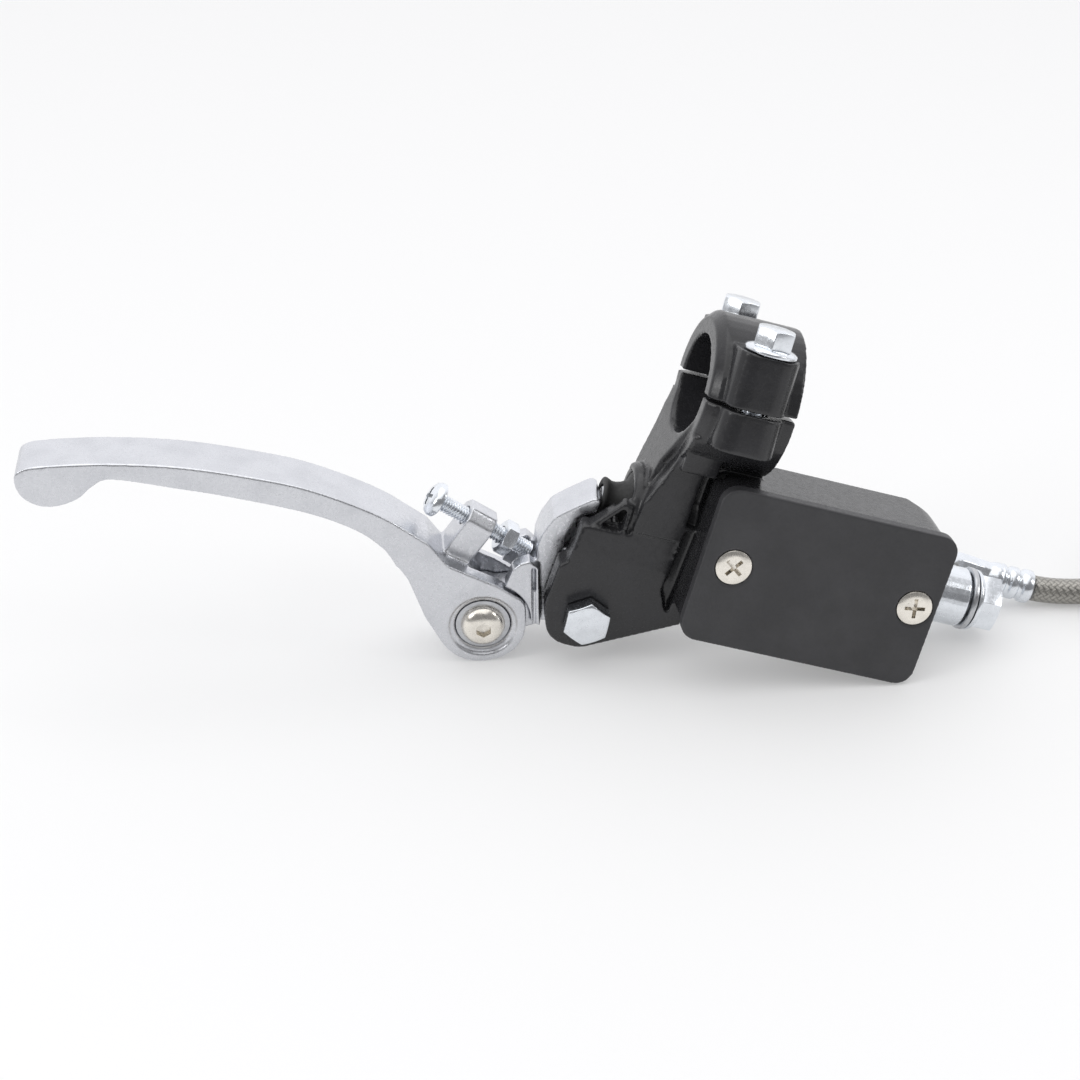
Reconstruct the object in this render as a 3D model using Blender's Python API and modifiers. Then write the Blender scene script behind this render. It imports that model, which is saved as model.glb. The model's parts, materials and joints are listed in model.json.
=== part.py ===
"""Motorcycle front brake master cylinder with a folding lever, lying on a bench.

Every dimension is in millimetres. Places are given from the centre of the handlebar bore on
the clamp's left end face, and are shifted to the model's own origin when a mesh is made:
bottom centre of the object, +X along its length, +Z up, bench at z = 0.
"""
import math

import bmesh
import bpy
from mathutils import Matrix, Vector

MM = 0.001
GAP = 0.3                                  # clearance between neighbouring solids

# the model's origin, seen from the handlebar bore
ORIGIN = Vector((-37.3, -1.2, -64.3))

# directions: the handlebar runs down to the right, the reservoir lid leans back,
# and the clamp leans back a little further
TILT = math.radians(17.36)
LEAN = math.radians(9.03)
CLAMP_LEAN = math.radians(15.5)
ALONG = Vector((math.cos(TILT), 0, -math.sin(TILT)))
RISE = Vector((math.sin(TILT), 0, math.cos(TILT)))
X_AXIS = Vector((1, 0, 0))
Y_AXIS = Vector((0, 1, 0))
Z_AXIS = Vector((0, 0, 1))
LID_UP = RISE * math.cos(LEAN) + Y_AXIS * math.sin(LEAN)
LID_OUT = ALONG.cross(LID_UP)
CLAMP_UP = RISE * math.cos(CLAMP_LEAN) + Y_AXIS * math.sin(CLAMP_LEAN)
CLAMP_OUT = ALONG.cross(CLAMP_UP)

# handlebar clamp
BAR_RADIUS = 11.1                          # for a 22.2 mm handlebar
RING_RADIUS = 16.8
CLAMP_WIDTH = 20.0
SPLIT_GAP = 0.8
BOSS_LEFT, BOSS_RIGHT = 3.0, 16.8
BOSS_OUT = 21.0
BOSS_TOP, BOSS_BOTTOM = 12.6, -9.4
BOLT_SEAT = 12.5
CLAMP_BOLT_ALONG = 10.2
CLAMP_BOLT_OUT = 16.0
CLAMP_BOLT_RADIUS = 2.9
CLAMP_FLANGE_RADIUS = 5.8
CLAMP_HEX = 8.0
CLAMP_HEAD = 5.5

# reservoir and lid, in the lid's own directions
BOX_LEFT, BOX_RIGHT = 9.2, 64.2
BOX_BOTTOM, BOX_TOP = -51.4, -15.0
LID_FACE, LID_THICKNESS = 19.2, 3.2
LID_SEAT = LID_FACE - LID_THICKNESS - GAP
BOX_BACK = -4.0
POCKET_FLOOR = 6.5
CORNER = 4.0
LID_SCREWS_ALONG = (16.5, 59.1)
LID_SCREW_UP = -32.8
LID_SCREW_HEAD = 4.0

# cylinder bore and what slides in it
BORE_UP, BORE_OUT = -31.0, -3.0
BARREL_RADIUS = 8.3
BORE_RADIUS = 5.5
MOUTH_RADIUS = 6.9
MOUTH_START, MOUTH_END = -6.0, -0.8
BORE_END = 54.0

# brake hose outlet
OUTLET_UP, OUTLET_OUT = -34.4, 1.1
OUTLET_FACE = 64.7
OUTLET_RADIUS = 4.9
WASHER_THICKNESS = 1.2
EYE_LENGTH = 9.6
EYE_RADIUS = 6.8

# lever pivots, x and z on the bench plane
PIVOT = (-24.2, -51.5)
FOLD = (-47.1, -54.7)
EAR_FRONT = (-13.0, -7.0)
EAR_BACK = (3.3, 9.3)
PIVOT_RADIUS = 3.0
FOLD_RADIUS = 2.5
KNUCKLE_RADIUS = 9.6
BLADE_FRONT, BLADE_BACK = -10.25, 2.2
CHEEK_BACK = 6.2
TONGUE = (-6.0, 1.6)

# reach adjuster, in the lever's mid plane
ADJUSTER_HEAD = Vector((-57.96, -1.5, -25.19))
ADJUSTER_WAY = Vector((0.819, 0, -0.574))
ADJUSTER_LENGTH = 26.7

# brake hose: diameter, route of its free stretch and the coil at its end
HOSE_DIAMETER = 6.0
COIL_CENTRE = (145.0, -3.0)
COIL_RADIUS = 33.0


def collection(name):
    """A new collection linked to the scene."""
    made = bpy.data.collections.new(name)
    bpy.context.scene.collection.children.link(made)
    return made


for leftover in list(bpy.data.objects):
    bpy.data.objects.remove(leftover)
PARTS = collection("brake_master_cylinder")
CUTTERS = collection("cutters")


def material(name, colour, roughness, metallic=0.0):
    """A plain Principled material."""
    made = bpy.data.materials.new(name)
    made.use_nodes = True
    shader = made.node_tree.nodes["Principled BSDF"]
    shader.inputs["Base Color"].default_value = (*colour, 1.0)
    shader.inputs["Roughness"].default_value = roughness
    shader.inputs["Metallic"].default_value = metallic
    return made


BLACK_CASTING = material("black_painted_aluminium", (0.012, 0.012, 0.014), 0.38)
BLACK_LID = material("black_lid", (0.014, 0.014, 0.015), 0.5)
CAST_ALUMINIUM = material("cast_aluminium", (0.62, 0.63, 0.65), 0.34, 1.0)
ZINC = material("zinc_plated_steel", (0.68, 0.70, 0.73), 0.25, 1.0)
NICKEL = material("nickel_plated_steel", (0.62, 0.58, 0.50), 0.28, 1.0)
BRIGHT_STEEL = material("machined_steel", (0.55, 0.56, 0.58), 0.3, 1.0)
RUBBER = material("black_rubber", (0.015, 0.015, 0.015), 0.7)
BRASS = material("brass", (0.66, 0.48, 0.22), 0.35, 1.0)
COPPER = material("copper", (0.70, 0.36, 0.22), 0.35, 1.0)
BRAID = material("braided_hose", (0.42, 0.41, 0.38), 0.4, 0.7)


def local_frame(origin, first, second):
    """Matrix of a frame at a place in mm, with its X and Y along two directions."""
    turn = Matrix((first, second, first.cross(second))).transposed().to_4x4()
    return Matrix.Translation((origin - ORIGIN) * MM) @ turn


def along_axis(origin, way):
    """Matrix of a frame whose Z runs along a direction."""
    turn = way.to_track_quat("Z", "Y").to_matrix().to_4x4()
    return Matrix.Translation((origin - ORIGIN) * MM) @ turn


def at_lid(along, up, out):
    """A place given in the lid's directions."""
    return ALONG * along + LID_UP * up + LID_OUT * out


def at_clamp(along, up, out):
    """A place given in the clamp's directions."""
    return ALONG * along + CLAMP_UP * up + CLAMP_OUT * out


def add_object(name, data, finish, matrix, cutter=False):
    """An object in the parts' or the cutters' collection."""
    made = bpy.data.objects.new(name, data)
    (CUTTERS if cutter else PARTS).objects.link(made)
    made.matrix_world = matrix
    if finish is not None:
        data.materials.append(finish)
    if cutter:
        made.hide_render = True
        made.display_type = "WIRE"
    return made


def as_mesh(curve):
    """Replace a curve object by a closed mesh object of the same name."""
    bpy.context.view_layer.update()
    graph = bpy.context.evaluated_depsgraph_get()
    mesh = bpy.data.meshes.new_from_object(curve.evaluated_get(graph))
    weld = bmesh.new()
    weld.from_mesh(mesh)
    bmesh.ops.remove_doubles(weld, verts=weld.verts, dist=0.00001)
    bmesh.ops.recalc_face_normals(weld, faces=weld.faces)
    weld.to_mesh(mesh)
    weld.free()
    name, matrix, home = curve.name, curve.matrix_world.copy(), curve.users_collection[0]
    hidden = curve.hide_render
    bpy.data.objects.remove(curve)
    made = bpy.data.objects.new(name, mesh)
    home.objects.link(made)
    made.matrix_world = matrix
    if hidden:
        made.hide_render = True
        made.display_type = "WIRE"
    return made


def rounded(corners, steps=4):
    """Outline through (x, y, radius) corners, each rounded by an arc of its radius."""
    points = []
    count = len(corners)
    for index, (x, y, radius) in enumerate(corners):
        corner = Vector((x, y))
        if radius <= 0:
            points.append(corner)
            continue
        before = (Vector(corners[index - 1][:2]) - corner).normalized()
        after = (Vector(corners[(index + 1) % count][:2]) - corner).normalized()
        half = before.angle(after) / 2
        reach = radius / math.tan(half)
        centre = corner + (before + after).normalized() * radius / math.sin(half)
        start = corner + before * reach - centre
        end = corner + after * reach - centre
        turn = start.angle_signed(end)
        for step in range(steps + 1):
            angle = -turn * step / steps
            points.append(centre + Matrix.Rotation(angle, 2) @ start)
    return points


def arc(centre, radius, start, end, steps=12):
    """Points on an arc, angles in degrees."""
    points = []
    for step in range(steps + 1):
        angle = math.radians(start + (end - start) * step / steps)
        points.append(Vector((centre[0] + radius * math.cos(angle),
                              centre[1] + radius * math.sin(angle))))
    return points


def prism(name, outline, origin, first, second, low, high, finish=None, cutter=False):
    """A flat outline extruded from low to high along first x second."""
    curve = bpy.data.curves.new(name, "CURVE")
    curve.dimensions = "2D"
    curve.fill_mode = "BOTH"
    curve.extrude = (high - low) / 2 * MM
    spline = curve.splines.new("POLY")
    spline.points.add(len(outline) - 1)
    for point, place in zip(spline.points, outline):
        point.co = (place[0] * MM, place[1] * MM, 0, 1)
    spline.use_cyclic_u = True
    middle = Matrix.Translation((0, 0, (low + high) / 2 * MM))
    return as_mesh(add_object(name, curve, finish, local_frame(origin, first, second) @ middle, cutter))


def side_plate(name, outline, front, back, finish=None, cutter=False):
    """An outline in x and z, between two depths; front is the smaller y."""
    return prism(name, outline, Vector((0, 0, 0)), X_AXIS, Z_AXIS, -back, -front, finish, cutter)


def ear_plate(name, outline, front, back, finish=None, cutter=False):
    """An outline in the bar's directions, between two depths."""
    return prism(name, outline, Vector((0, 0, 0)), ALONG, RISE, -back, -front, finish, cutter)


def turned(name, profile, origin, way, finish=None, cutter=False, steps=24):
    """A turned solid: (radius, along) profile from its far end down its outer side."""
    shape = bmesh.new()
    corners = [shape.verts.new((radius * MM, 0, along * MM)) for radius, along in profile]
    for first, second in zip(corners, corners[1:]):
        shape.edges.new((first, second))
    if profile[0][0] > 0:
        shape.edges.new((corners[-1], corners[0]))
    mesh = bpy.data.meshes.new(name)
    shape.to_mesh(mesh)
    shape.free()
    made = add_object(name, mesh, finish, along_axis(origin, way), cutter)
    screw = made.modifiers.new("turn", "SCREW")
    screw.steps = steps
    screw.render_steps = steps
    screw.use_merge_vertices = True
    screw.merge_threshold = 0.00001
    return made


def rod(name, origin, way, start, end, radius, finish=None, cutter=False, sides=24):
    """A plain cylinder along a direction, from start to end."""
    shape = bmesh.new()
    bmesh.ops.create_cone(shape, cap_ends=True, segments=sides, radius1=radius * MM,
                          radius2=radius * MM, depth=(end - start) * MM,
                          matrix=Matrix.Translation((0, 0, (start + end) / 2 * MM)))
    mesh = bpy.data.meshes.new(name)
    shape.to_mesh(mesh)
    shape.free()
    return add_object(name, mesh, finish, along_axis(origin, way), cutter)


def modify(target, tool, operation):
    """Join, cut or intersect one solid with another that is kept out of the model."""
    step = target.modifiers.new(tool.name, "BOOLEAN")
    step.operation = operation
    step.object = tool
    step.solver = "EXACT"


def join(target, *tools):
    for tool in tools:
        modify(target, tool, "UNION")


def cut(target, *tools):
    for tool in tools:
        modify(target, tool, "DIFFERENCE")


def smooth(target, degrees=35):
    """Shade a round piece smooth, and keep its edges sharp."""
    target.data.shade_smooth()
    target.data.set_sharp_from_angle(angle=math.radians(degrees))


def move_origin(target, place):
    """Put an object's origin on its joint without moving its mesh."""
    world = Matrix.Translation((place - ORIGIN) * MM)
    target.data.transform(world.inverted() @ target.matrix_world)
    target.matrix_world = world


def hexagon(across_flats, first_vertex=0.0):
    """Outline of a hexagon; its first vertex is at an angle in degrees."""
    return arc((0, 0), across_flats / math.sqrt(3), first_vertex, first_vertex + 300, 5)


# --- master cylinder casting ---------------------------------------------------------------

BORE_START = at_lid(0, BORE_UP, BORE_OUT)
OUTLET_START = at_lid(0, OUTLET_UP, OUTLET_OUT)
SPLIT = SPLIT_GAP / 2


def half_ring(top):
    """Outline of one clamp half in its up and out directions."""
    cut_angle = math.degrees(math.asin(SPLIT / RING_RADIUS))
    if top:
        return arc((0, 0), RING_RADIUS, cut_angle - 90, 90 - cut_angle, 20)
    return arc((0, 0), RING_RADIUS, 90 + cut_angle, 270 - cut_angle, 20)


def bolt_boss(name, side, bottom, top):
    """A clamp boss around one bolt; side is 1 near the lid and -1 behind."""
    inner, outer, corner = 10.5 * side, BOSS_OUT * side, 4.2
    outline = rounded([(BOSS_LEFT, inner, 0), (BOSS_RIGHT, inner, 0),
                       (BOSS_RIGHT, outer, corner), (BOSS_LEFT, outer, corner)])
    return prism(name, outline, Vector((0, 0, 0)), ALONG, CLAMP_OUT, -top, -bottom, None, True)


def make_body():
    """The casting: barrel, reservoir box, clamp half, arm, ears and outlet boss."""
    left, right, low, high = BOX_LEFT + 0.4, BOX_RIGHT - 0.9, BOX_BOTTOM + 0.4, BOX_TOP - 0.8
    box = rounded([(left, low, CORNER), (right, low, CORNER), (right, high, CORNER), (left, high, CORNER)])
    origin = Vector((0, 0, 0))
    body = prism("master_cylinder_body", box, origin, ALONG, LID_UP, BOX_BACK, LID_SEAT, BLACK_CASTING)
    # seen along its height, the box loses its back right corner
    depth = [(4.2, 25, 0), (4.2, BOX_BACK - 1, 0), (57.0, BOX_BACK - 1, 3), (63.3, 5.6, 3), (63.3, 25, 0)]
    modify(body, prism("box_side_shape", rounded([(x, -z, r) for x, z, r in depth]), origin, ALONG,
                       -LID_OUT, -80, 0, None, True), "INTERSECT")
    # and its underside rises towards the back, so that it rests on its front edge
    taper = [(-10, -10), (-10, 30), (-51.4, 30), (-50.1, 12), (-47.9, BOX_BACK - 0.1)]
    modify(body, prism("box_bottom_shape", taper, origin, LID_UP, LID_OUT, -20, 90, None, True),
           "INTERSECT")
    arm = [(-30, -11, 0), (-24, -12.8, 0), (-15, -13.2, 6), (-3.2, -16.1, 0), (-5, 0, 0), (-3, 14.6, 0),
           (-9, 12.3, 8), (-18, 3.9, 6), (-30, 3.2, 0)]
    join(body,
         rod("barrel", BORE_START, ALONG, MOUTH_START, 58, BARREL_RADIUS, None, True, 36),
         prism("clamp_arm", rounded(arm), origin, LID_UP, LID_OUT, 0, CLAMP_WIDTH - 1, None, True),
         prism("lower_half_ring", half_ring(False), origin, CLAMP_UP, CLAMP_OUT, 0, CLAMP_WIDTH,
               None, True),
         bolt_boss("near_lower_boss", 1, BOSS_BOTTOM, -SPLIT),
         bolt_boss("far_lower_boss", -1, BOSS_BOTTOM, -SPLIT),
         rod("outlet_boss", OUTLET_START, ALONG, 50, OUTLET_FACE, 8.0, None, True, 36))
    ear = [(-15.2, -34.3, 1), (-15.9, -43.6, 1), (-17.4, -45, 1), (-17.4, -56.0, 6), (-14.5, -64.8, 6),
           (-6.5, -65.0, 5), (13.6, -53.3, 0), (13.6, -34.0, 0)]
    back_ear = ear[:-2] + [(13.6, -53.3, 0), (16.0, -26.0, 0), (4.0, -26.0, 0), (-4, -34.0, 0)]
    join(body,
         ear_plate("front_ear", rounded(ear), EAR_FRONT[0], EAR_FRONT[1] + 0.5, None, True),
         ear_plate("back_ear", rounded(back_ear), EAR_BACK[0] - 0.5, EAR_BACK[1], None, True),
         ear_plate("ear_web", [(-4.5, -34.0), (7.0, -50.0), (14.0, -50.0), (14.0, -30.0), (0.0, -28.0)],
                   -12.0, 8.6, None, True))
    # the slot between the ears, where the lever's hub swings
    slot = arc((-7.7, -56.4), 13.0, -100, 60, 12) + [Vector((-3.0, -39.8)), Vector((-6.4, -39.8)),
                                                      Vector((-6.4, -20)), Vector((-25, -20)),
                                                      Vector((-25, -70))]
    cut(body,
        ear_plate("lever_slot", slot, EAR_FRONT[1], EAR_BACK[0], None, True),
        prism("reservoir_pocket",
              rounded([(BOX_LEFT + 3.2, BOX_BOTTOM + 3.4, 2.5), (BOX_RIGHT - 3.8, BOX_BOTTOM + 3.4, 2.5),
                       (BOX_RIGHT - 3.8, BOX_TOP - 3.6, 2.5), (BOX_LEFT + 3.2, BOX_TOP - 3.6, 2.5)]),
              origin, ALONG, LID_UP, POCKET_FLOOR, 30, None, True),
        rod("cylinder_bore", BORE_START, ALONG, MOUTH_START - 2, BORE_END, BORE_RADIUS, None, True, 28),
        rod("bore_mouth", BORE_START, ALONG, MOUTH_START - 3, MOUTH_END, MOUTH_RADIUS, None, True, 28),
        rod("outlet_bore", OUTLET_START, ALONG, 46.5, OUTLET_FACE + 3, OUTLET_RADIUS, None, True, 24),
        rod("inlet_port", at_lid(21.0, BORE_UP, 0), LID_OUT, 0, 12, 1.3, None, True, 12),
        rod("compensating_port", at_lid(30.5, BORE_UP, 0), LID_OUT, 0, 12, 0.5, None, True, 8),
        rod("pivot_bore", Vector((PIVOT[0], 0, PIVOT[1])), Y_AXIS, -20, 20, PIVOT_RADIUS + 0.1,
            None, True, 20))
    for index, side in enumerate((1, -1)):
        cut(body, rod(f"clamp_thread_{index}", at_clamp(CLAMP_BOLT_ALONG, 0, CLAMP_BOLT_OUT * side),
                      CLAMP_UP, BOSS_BOTTOM + 1.5, 6, CLAMP_BOLT_RADIUS + 0.1, None, True, 16))
    cut(body, rod("bar_bore", origin, ALONG, -5, CLAMP_WIDTH + 5, BAR_RADIUS, None, True, 40))
    for index, along in enumerate(LID_SCREWS_ALONG):
        post_place = at_lid(along, LID_SCREW_UP, 0)
        join(body, rod(f"screw_post_{index}", post_place, LID_OUT, POCKET_FLOOR - 0.3,
                       LID_SEAT - 2.0, 3.4, None, True, 20))
        cut(body, rod(f"screw_hole_{index}", post_place, LID_OUT, 7.0, 25, 1.9, None, True, 12))
    smooth(body)
    return body


def make_clamp_cap():
    """The upper half of the handlebar clamp with its two bolt bosses."""
    origin = Vector((0, 0, 0))
    cap = prism("clamp_cap", half_ring(True), origin, CLAMP_UP, CLAMP_OUT, 0, CLAMP_WIDTH,
                BLACK_CASTING)
    join(cap, bolt_boss("near_upper_boss", 1, SPLIT, BOSS_TOP),
         bolt_boss("far_upper_boss", -1, SPLIT, BOSS_TOP))
    cut(cap, rod("cap_bar_bore", origin, ALONG, -5, CLAMP_WIDTH + 5, BAR_RADIUS, None, True, 40))
    for index, side in enumerate((1, -1)):
        bolt_place = at_clamp(CLAMP_BOLT_ALONG, 0, CLAMP_BOLT_OUT * side)
        cut(cap,
            rod(f"cap_hole_{index}", bolt_place, CLAMP_UP, -5, 25, CLAMP_BOLT_RADIUS + GAP, None, True,
                16),
            rod(f"flange_seat_{index}", bolt_place, CLAMP_UP, BOLT_SEAT, BOSS_TOP + 5,
                CLAMP_FLANGE_RADIUS + GAP, None, True, 28))
    smooth(cap)


def make_clamp_bolts():
    """Two flanged hexagon bolts that pull the clamp halves together."""
    for name, side in (("clamp_bolt_near", 1), ("clamp_bolt_far", -1)):
        seat = at_clamp(CLAMP_BOLT_ALONG, BOLT_SEAT + GAP, CLAMP_BOLT_OUT * side)
        bolt = turned(name, [(0, CLAMP_HEAD), (3.6, CLAMP_HEAD), (4.0, 1.6),
                             (CLAMP_FLANGE_RADIUS - 0.6, 1.4), (CLAMP_FLANGE_RADIUS, 0.8),
                             (CLAMP_FLANGE_RADIUS, 0), (CLAMP_BOLT_RADIUS - 0.1, 0),
                             (CLAMP_BOLT_RADIUS - 0.1, -19.2), (2.0, -20.0), (0, -20.0)],
                      seat, CLAMP_UP, ZINC, steps=20)
        join(bolt, prism(f"{name}_hexagon", hexagon(CLAMP_HEX, 15), seat, ALONG, -CLAMP_OUT, 1.0,
                         CLAMP_HEAD - 0.2, None, True))


def make_lid():
    """The reservoir lid, with a countersunk hole at each screw."""
    outline = rounded([(BOX_LEFT, BOX_BOTTOM, CORNER), (BOX_RIGHT, BOX_BOTTOM, CORNER),
                       (BOX_RIGHT, BOX_TOP, CORNER), (BOX_LEFT, BOX_TOP, CORNER)], 6)
    lid = prism("reservoir_lid", outline, Vector((0, 0, 0)), ALONG, LID_UP,
                LID_FACE - LID_THICKNESS, LID_FACE, BLACK_LID)
    soften = lid.modifiers.new("edge", "BEVEL")
    soften.width = 0.5 * MM
    soften.segments = 2
    soften.limit_method = "ANGLE"
    soften.angle_limit = math.radians(50)
    for index, along in enumerate(LID_SCREWS_ALONG):
        place = at_lid(along, LID_SCREW_UP, LID_FACE)
        cut(lid, turned(f"countersink_{index}",
                        [(0, 2), (LID_SCREW_HEAD + GAP, 2), (LID_SCREW_HEAD + GAP, -0.3),
                         (2.4, -2.4), (2.4, -6), (0, -6)], place, LID_OUT, None, True))


def make_lid_screws():
    """Two countersunk cross-head screws."""
    for index, along in enumerate(LID_SCREWS_ALONG):
        place = at_lid(along, LID_SCREW_UP, LID_FACE)
        screw = turned(f"lid_screw_{index + 1}",
                       [(0, 0), (LID_SCREW_HEAD, 0), (LID_SCREW_HEAD, -0.4), (1.9, -2.5),
                        (1.6, -2.6), (1.6, -11.0), (1.0, -11.6), (0, -11.6)], place, LID_OUT, NICKEL)
        for turn in (0, 90):
            blade = rounded([(-2.3, -0.45, 0.3), (2.3, -0.45, 0.3), (2.3, 0.45, 0.3), (-2.3, 0.45, 0.3)], 1)
            angle = math.radians(turn + 20)
            first = ALONG * math.cos(angle) + LID_UP * math.sin(angle)
            cut(screw, prism(f"cross_{index}_{turn}", blade, place, first, LID_OUT.cross(first),
                             -1.6, 1, None, True))


def make_diaphragm():
    """The rubber diaphragm: a rim under the lid and a cup that follows the fluid down."""
    left, right, low, high = BOX_LEFT + 3.6, BOX_RIGHT - 4.2, BOX_BOTTOM + 3.8, BOX_TOP - 4.0
    outline = rounded([(left, low, 2.2), (right, low, 2.2), (right, high, 2.2), (left, high, 2.2)], 3)
    cup = prism("diaphragm", outline, Vector((0, 0, 0)), ALONG, LID_UP, LID_SEAT - 2.4, LID_SEAT - 0.2,
                RUBBER)
    inner = rounded([(left + 5, low + 1.6, 2.2), (right - 5, low + 1.6, 2.2),
                     (right - 5, high - 1.6, 2.2), (left + 5, high - 1.6, 2.2)], 3)
    cut(cup, prism("diaphragm_hollow", inner, Vector((0, 0, 0)), ALONG, LID_UP, LID_SEAT - 1.6,
                   LID_SEAT + 3, None, True))
    for index, along in enumerate(LID_SCREWS_ALONG):
        cut(cup, rod(f"diaphragm_hole_{index}", at_lid(along, LID_SCREW_UP, 0), LID_OUT, 0, 30, 4.0,
                     None, True, 20))


# --- inside the cylinder -------------------------------------------------------------------

def make_piston_parts():
    """Piston with its two seals, return spring, stop washer, circlip and dust boot."""
    piston = turned("piston", [(0, 33.0), (1.8, 33.0), (1.8, 30.6), (3.4, 30.4), (3.4, 27.8), (5.2, 27.4),
                               (5.2, 24.8), (3.3, 24.4), (3.3, 8.4), (5.2, 8.0), (5.2, 6.4),
                               (4.2, 6.2), (4.2, 3.4), (5.2, 3.2), (5.2, 0.6), (3.1, 0.2), (3.1, -5.0),
                               (2.2, -5.6), (2.2, -10.9), (1.6, -11.4), (0, -11.4)],
                    BORE_START, ALONG, BRIGHT_STEEL)
    smooth(piston)
    cups = (("primary_cup", [(3.7, 30.4), (5.3, 30.6), (5.3, 28.6), (5.0, 27.9), (3.7, 27.9)]),
            ("secondary_cup", [(4.5, 6.0), (5.3, 6.2), (5.3, 4.4), (5.0, 3.7), (4.5, 3.7)]))
    for name, profile in cups:
        smooth(turned(name, profile, BORE_START, ALONG, RUBBER))
    smooth(turned("stop_washer", [(3.5, -1.2), (6.5, -1.2), (6.5, -2.0), (3.5, -2.0)], BORE_START,
                  ALONG, ZINC))
    ring = turned("circlip", [(4.7, -2.4), (6.6, -2.4), (6.6, -3.4), (4.7, -3.4)], BORE_START, ALONG,
                  BRIGHT_STEEL)
    cut(ring, prism("circlip_gap", [(3, -1.5), (8, -1.5), (8, 1.5), (3, 1.5)], BORE_START, LID_UP,
                    LID_OUT, -10, 5, None, True))
    boot = [(4.0, -3.8), (6.6, -3.8), (6.6, -5.0), (4.6, -5.6), (3.6, -7.2), (3.3, -8.6), (3.4, -9.6),
            (4.0, -10.3), (4.0, -10.9), (3.4, -11.0), (2.5, -11.0), (2.5, -8.0), (2.9, -6.8), (4.0, -4.8)]
    smooth(turned("dust_boot", boot, BORE_START, ALONG, RUBBER), 60)


def coil_points(radius, start, end, turns, per_turn):
    """Points of a helix about Z, in mm."""
    points = []
    for step in range(turns * per_turn + 1):
        share = step / (turns * per_turn)
        angle = 2 * math.pi * turns * share
        points.append((radius * math.cos(angle), radius * math.sin(angle), start + (end - start) * share))
    return points


def wire(name, points, radius, matrix, finish, resolution=2, cutter=False):
    """A round wire or tube through points in mm, closed at both ends."""
    curve = bpy.data.curves.new(name, "CURVE")
    curve.dimensions = "3D"
    curve.bevel_depth = radius * MM
    curve.bevel_resolution = resolution
    curve.use_fill_caps = True
    spline = curve.splines.new("POLY")
    spline.points.add(len(points) - 1)
    for point, place in zip(spline.points, points):
        point.co = (place[0] * MM, place[1] * MM, place[2] * MM, 1)
    made = as_mesh(add_object(name, curve, finish, matrix, cutter))
    smooth(made, 60)
    return made


def make_return_spring():
    points = coil_points(4.4, 32.0, 52.9, 6, 12)
    wire("return_spring", points, 0.5, along_axis(BORE_START, ALONG), BRIGHT_STEEL, 1)


# --- lever ---------------------------------------------------------------------------------

PIVOT_PLACE = Vector((PIVOT[0], 0, PIVOT[1]))
FOLD_PLACE = Vector((FOLD[0], 0, FOLD[1]))


def make_lever_base():
    """The pivoting part: hub, arm that pushes the piston, tongue and shoulder of the fold joint."""
    arm = [(-34.5, -36.6, 1.5), (-33.3, -33.0, 8), (-30.6, -29.0, 4), (-26.5, -26.8, 6),
           (-21.8, -24.6, 1.2)]
    # the pad that meets the piston rod is square to the cylinder
    pad_high, pad_low = (ALONG * -11.75 + RISE * rise for rise in (-30.2, -33.5))
    tip = [(pad_high.x, pad_high.z, 0.8)]
    band = [(-33.5, -49.0, 0), (-34.8, -42.0, 0)] + arm + tip + [(-21.2, -27.8, 0.8), (-25.6, -29.4, 2),
                                                                 (-28.6, -35.0, 3), (-30.0, -48.0, 0)]
    # the flat that the adjuster's tip rests on is square to the adjuster
    rest = [(-38.3, -44.4, 0), (-33.9, -38.1, 0)]
    web = ([(-31.2, -50.0, 0), (-37.2, -47.4, 0)] + rest + arm + tip +
           [(pad_low.x, pad_low.z, 0), (-23.4, -36.0, 1), (-20.8, -44.0, 0)])
    base = side_plate("lever_base", rounded(web), -5.2, 1.6, CAST_ALUMINIUM)
    body_front, body_back = EAR_FRONT[1] + GAP, EAR_BACK[0] - GAP
    shoulder = ([Vector((-34.2, -55.8))] + arc(FOLD, 10.9, 0, 62, 8) +
                [Vector((-40.2, -40.6)), Vector((-38.6, -39.2)), Vector((-36.4, -38.6)),
                 Vector((-34.4, -40.6))])
    join(base,
         side_plate("arm_band", rounded(band), body_front, body_back, None, True),
         rod("hub", PIVOT_PLACE, Y_AXIS, body_front, body_back, 8.2, None, True, 32),
         side_plate("hub_neck", [(-36.2, -56.0), (-30, -56.4), (-24, -44.0), (-28, -38.0),
                                 (-34.4, -41.5), (-36.2, -46.5)], body_front, body_back, None, True),
         side_plate("front_shoulder", shoulder, -9.5, -5.6, None, True),
         side_plate("back_shoulder", shoulder, 2.0, 5.4, None, True),
         side_plate("tongue_neck", [(-47, -61.0), (-34.5, -57.5), (-34.5, -47.5), (-47, -48.4)],
                    *TONGUE, None, True),
         rod("tongue", FOLD_PLACE, Y_AXIS, *TONGUE, 7.4, None, True, 32))
    cut(base,
        rod("hub_bore", PIVOT_PLACE, Y_AXIS, -20, 20, 4.3, None, True, 24),
        rod("tongue_bore", FOLD_PLACE, Y_AXIS, -20, 20, FOLD_RADIUS + 0.1, None, True, 20),
        side_plate("shoulder_groove", [(-35.9, -57), (-35.1, -57), (-35.1, -40.4), (-35.9, -40.4)],
                   -12, -7.0, None, True))
    smooth(base)
    move_origin(base, PIVOT_PLACE)
    return base


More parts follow.
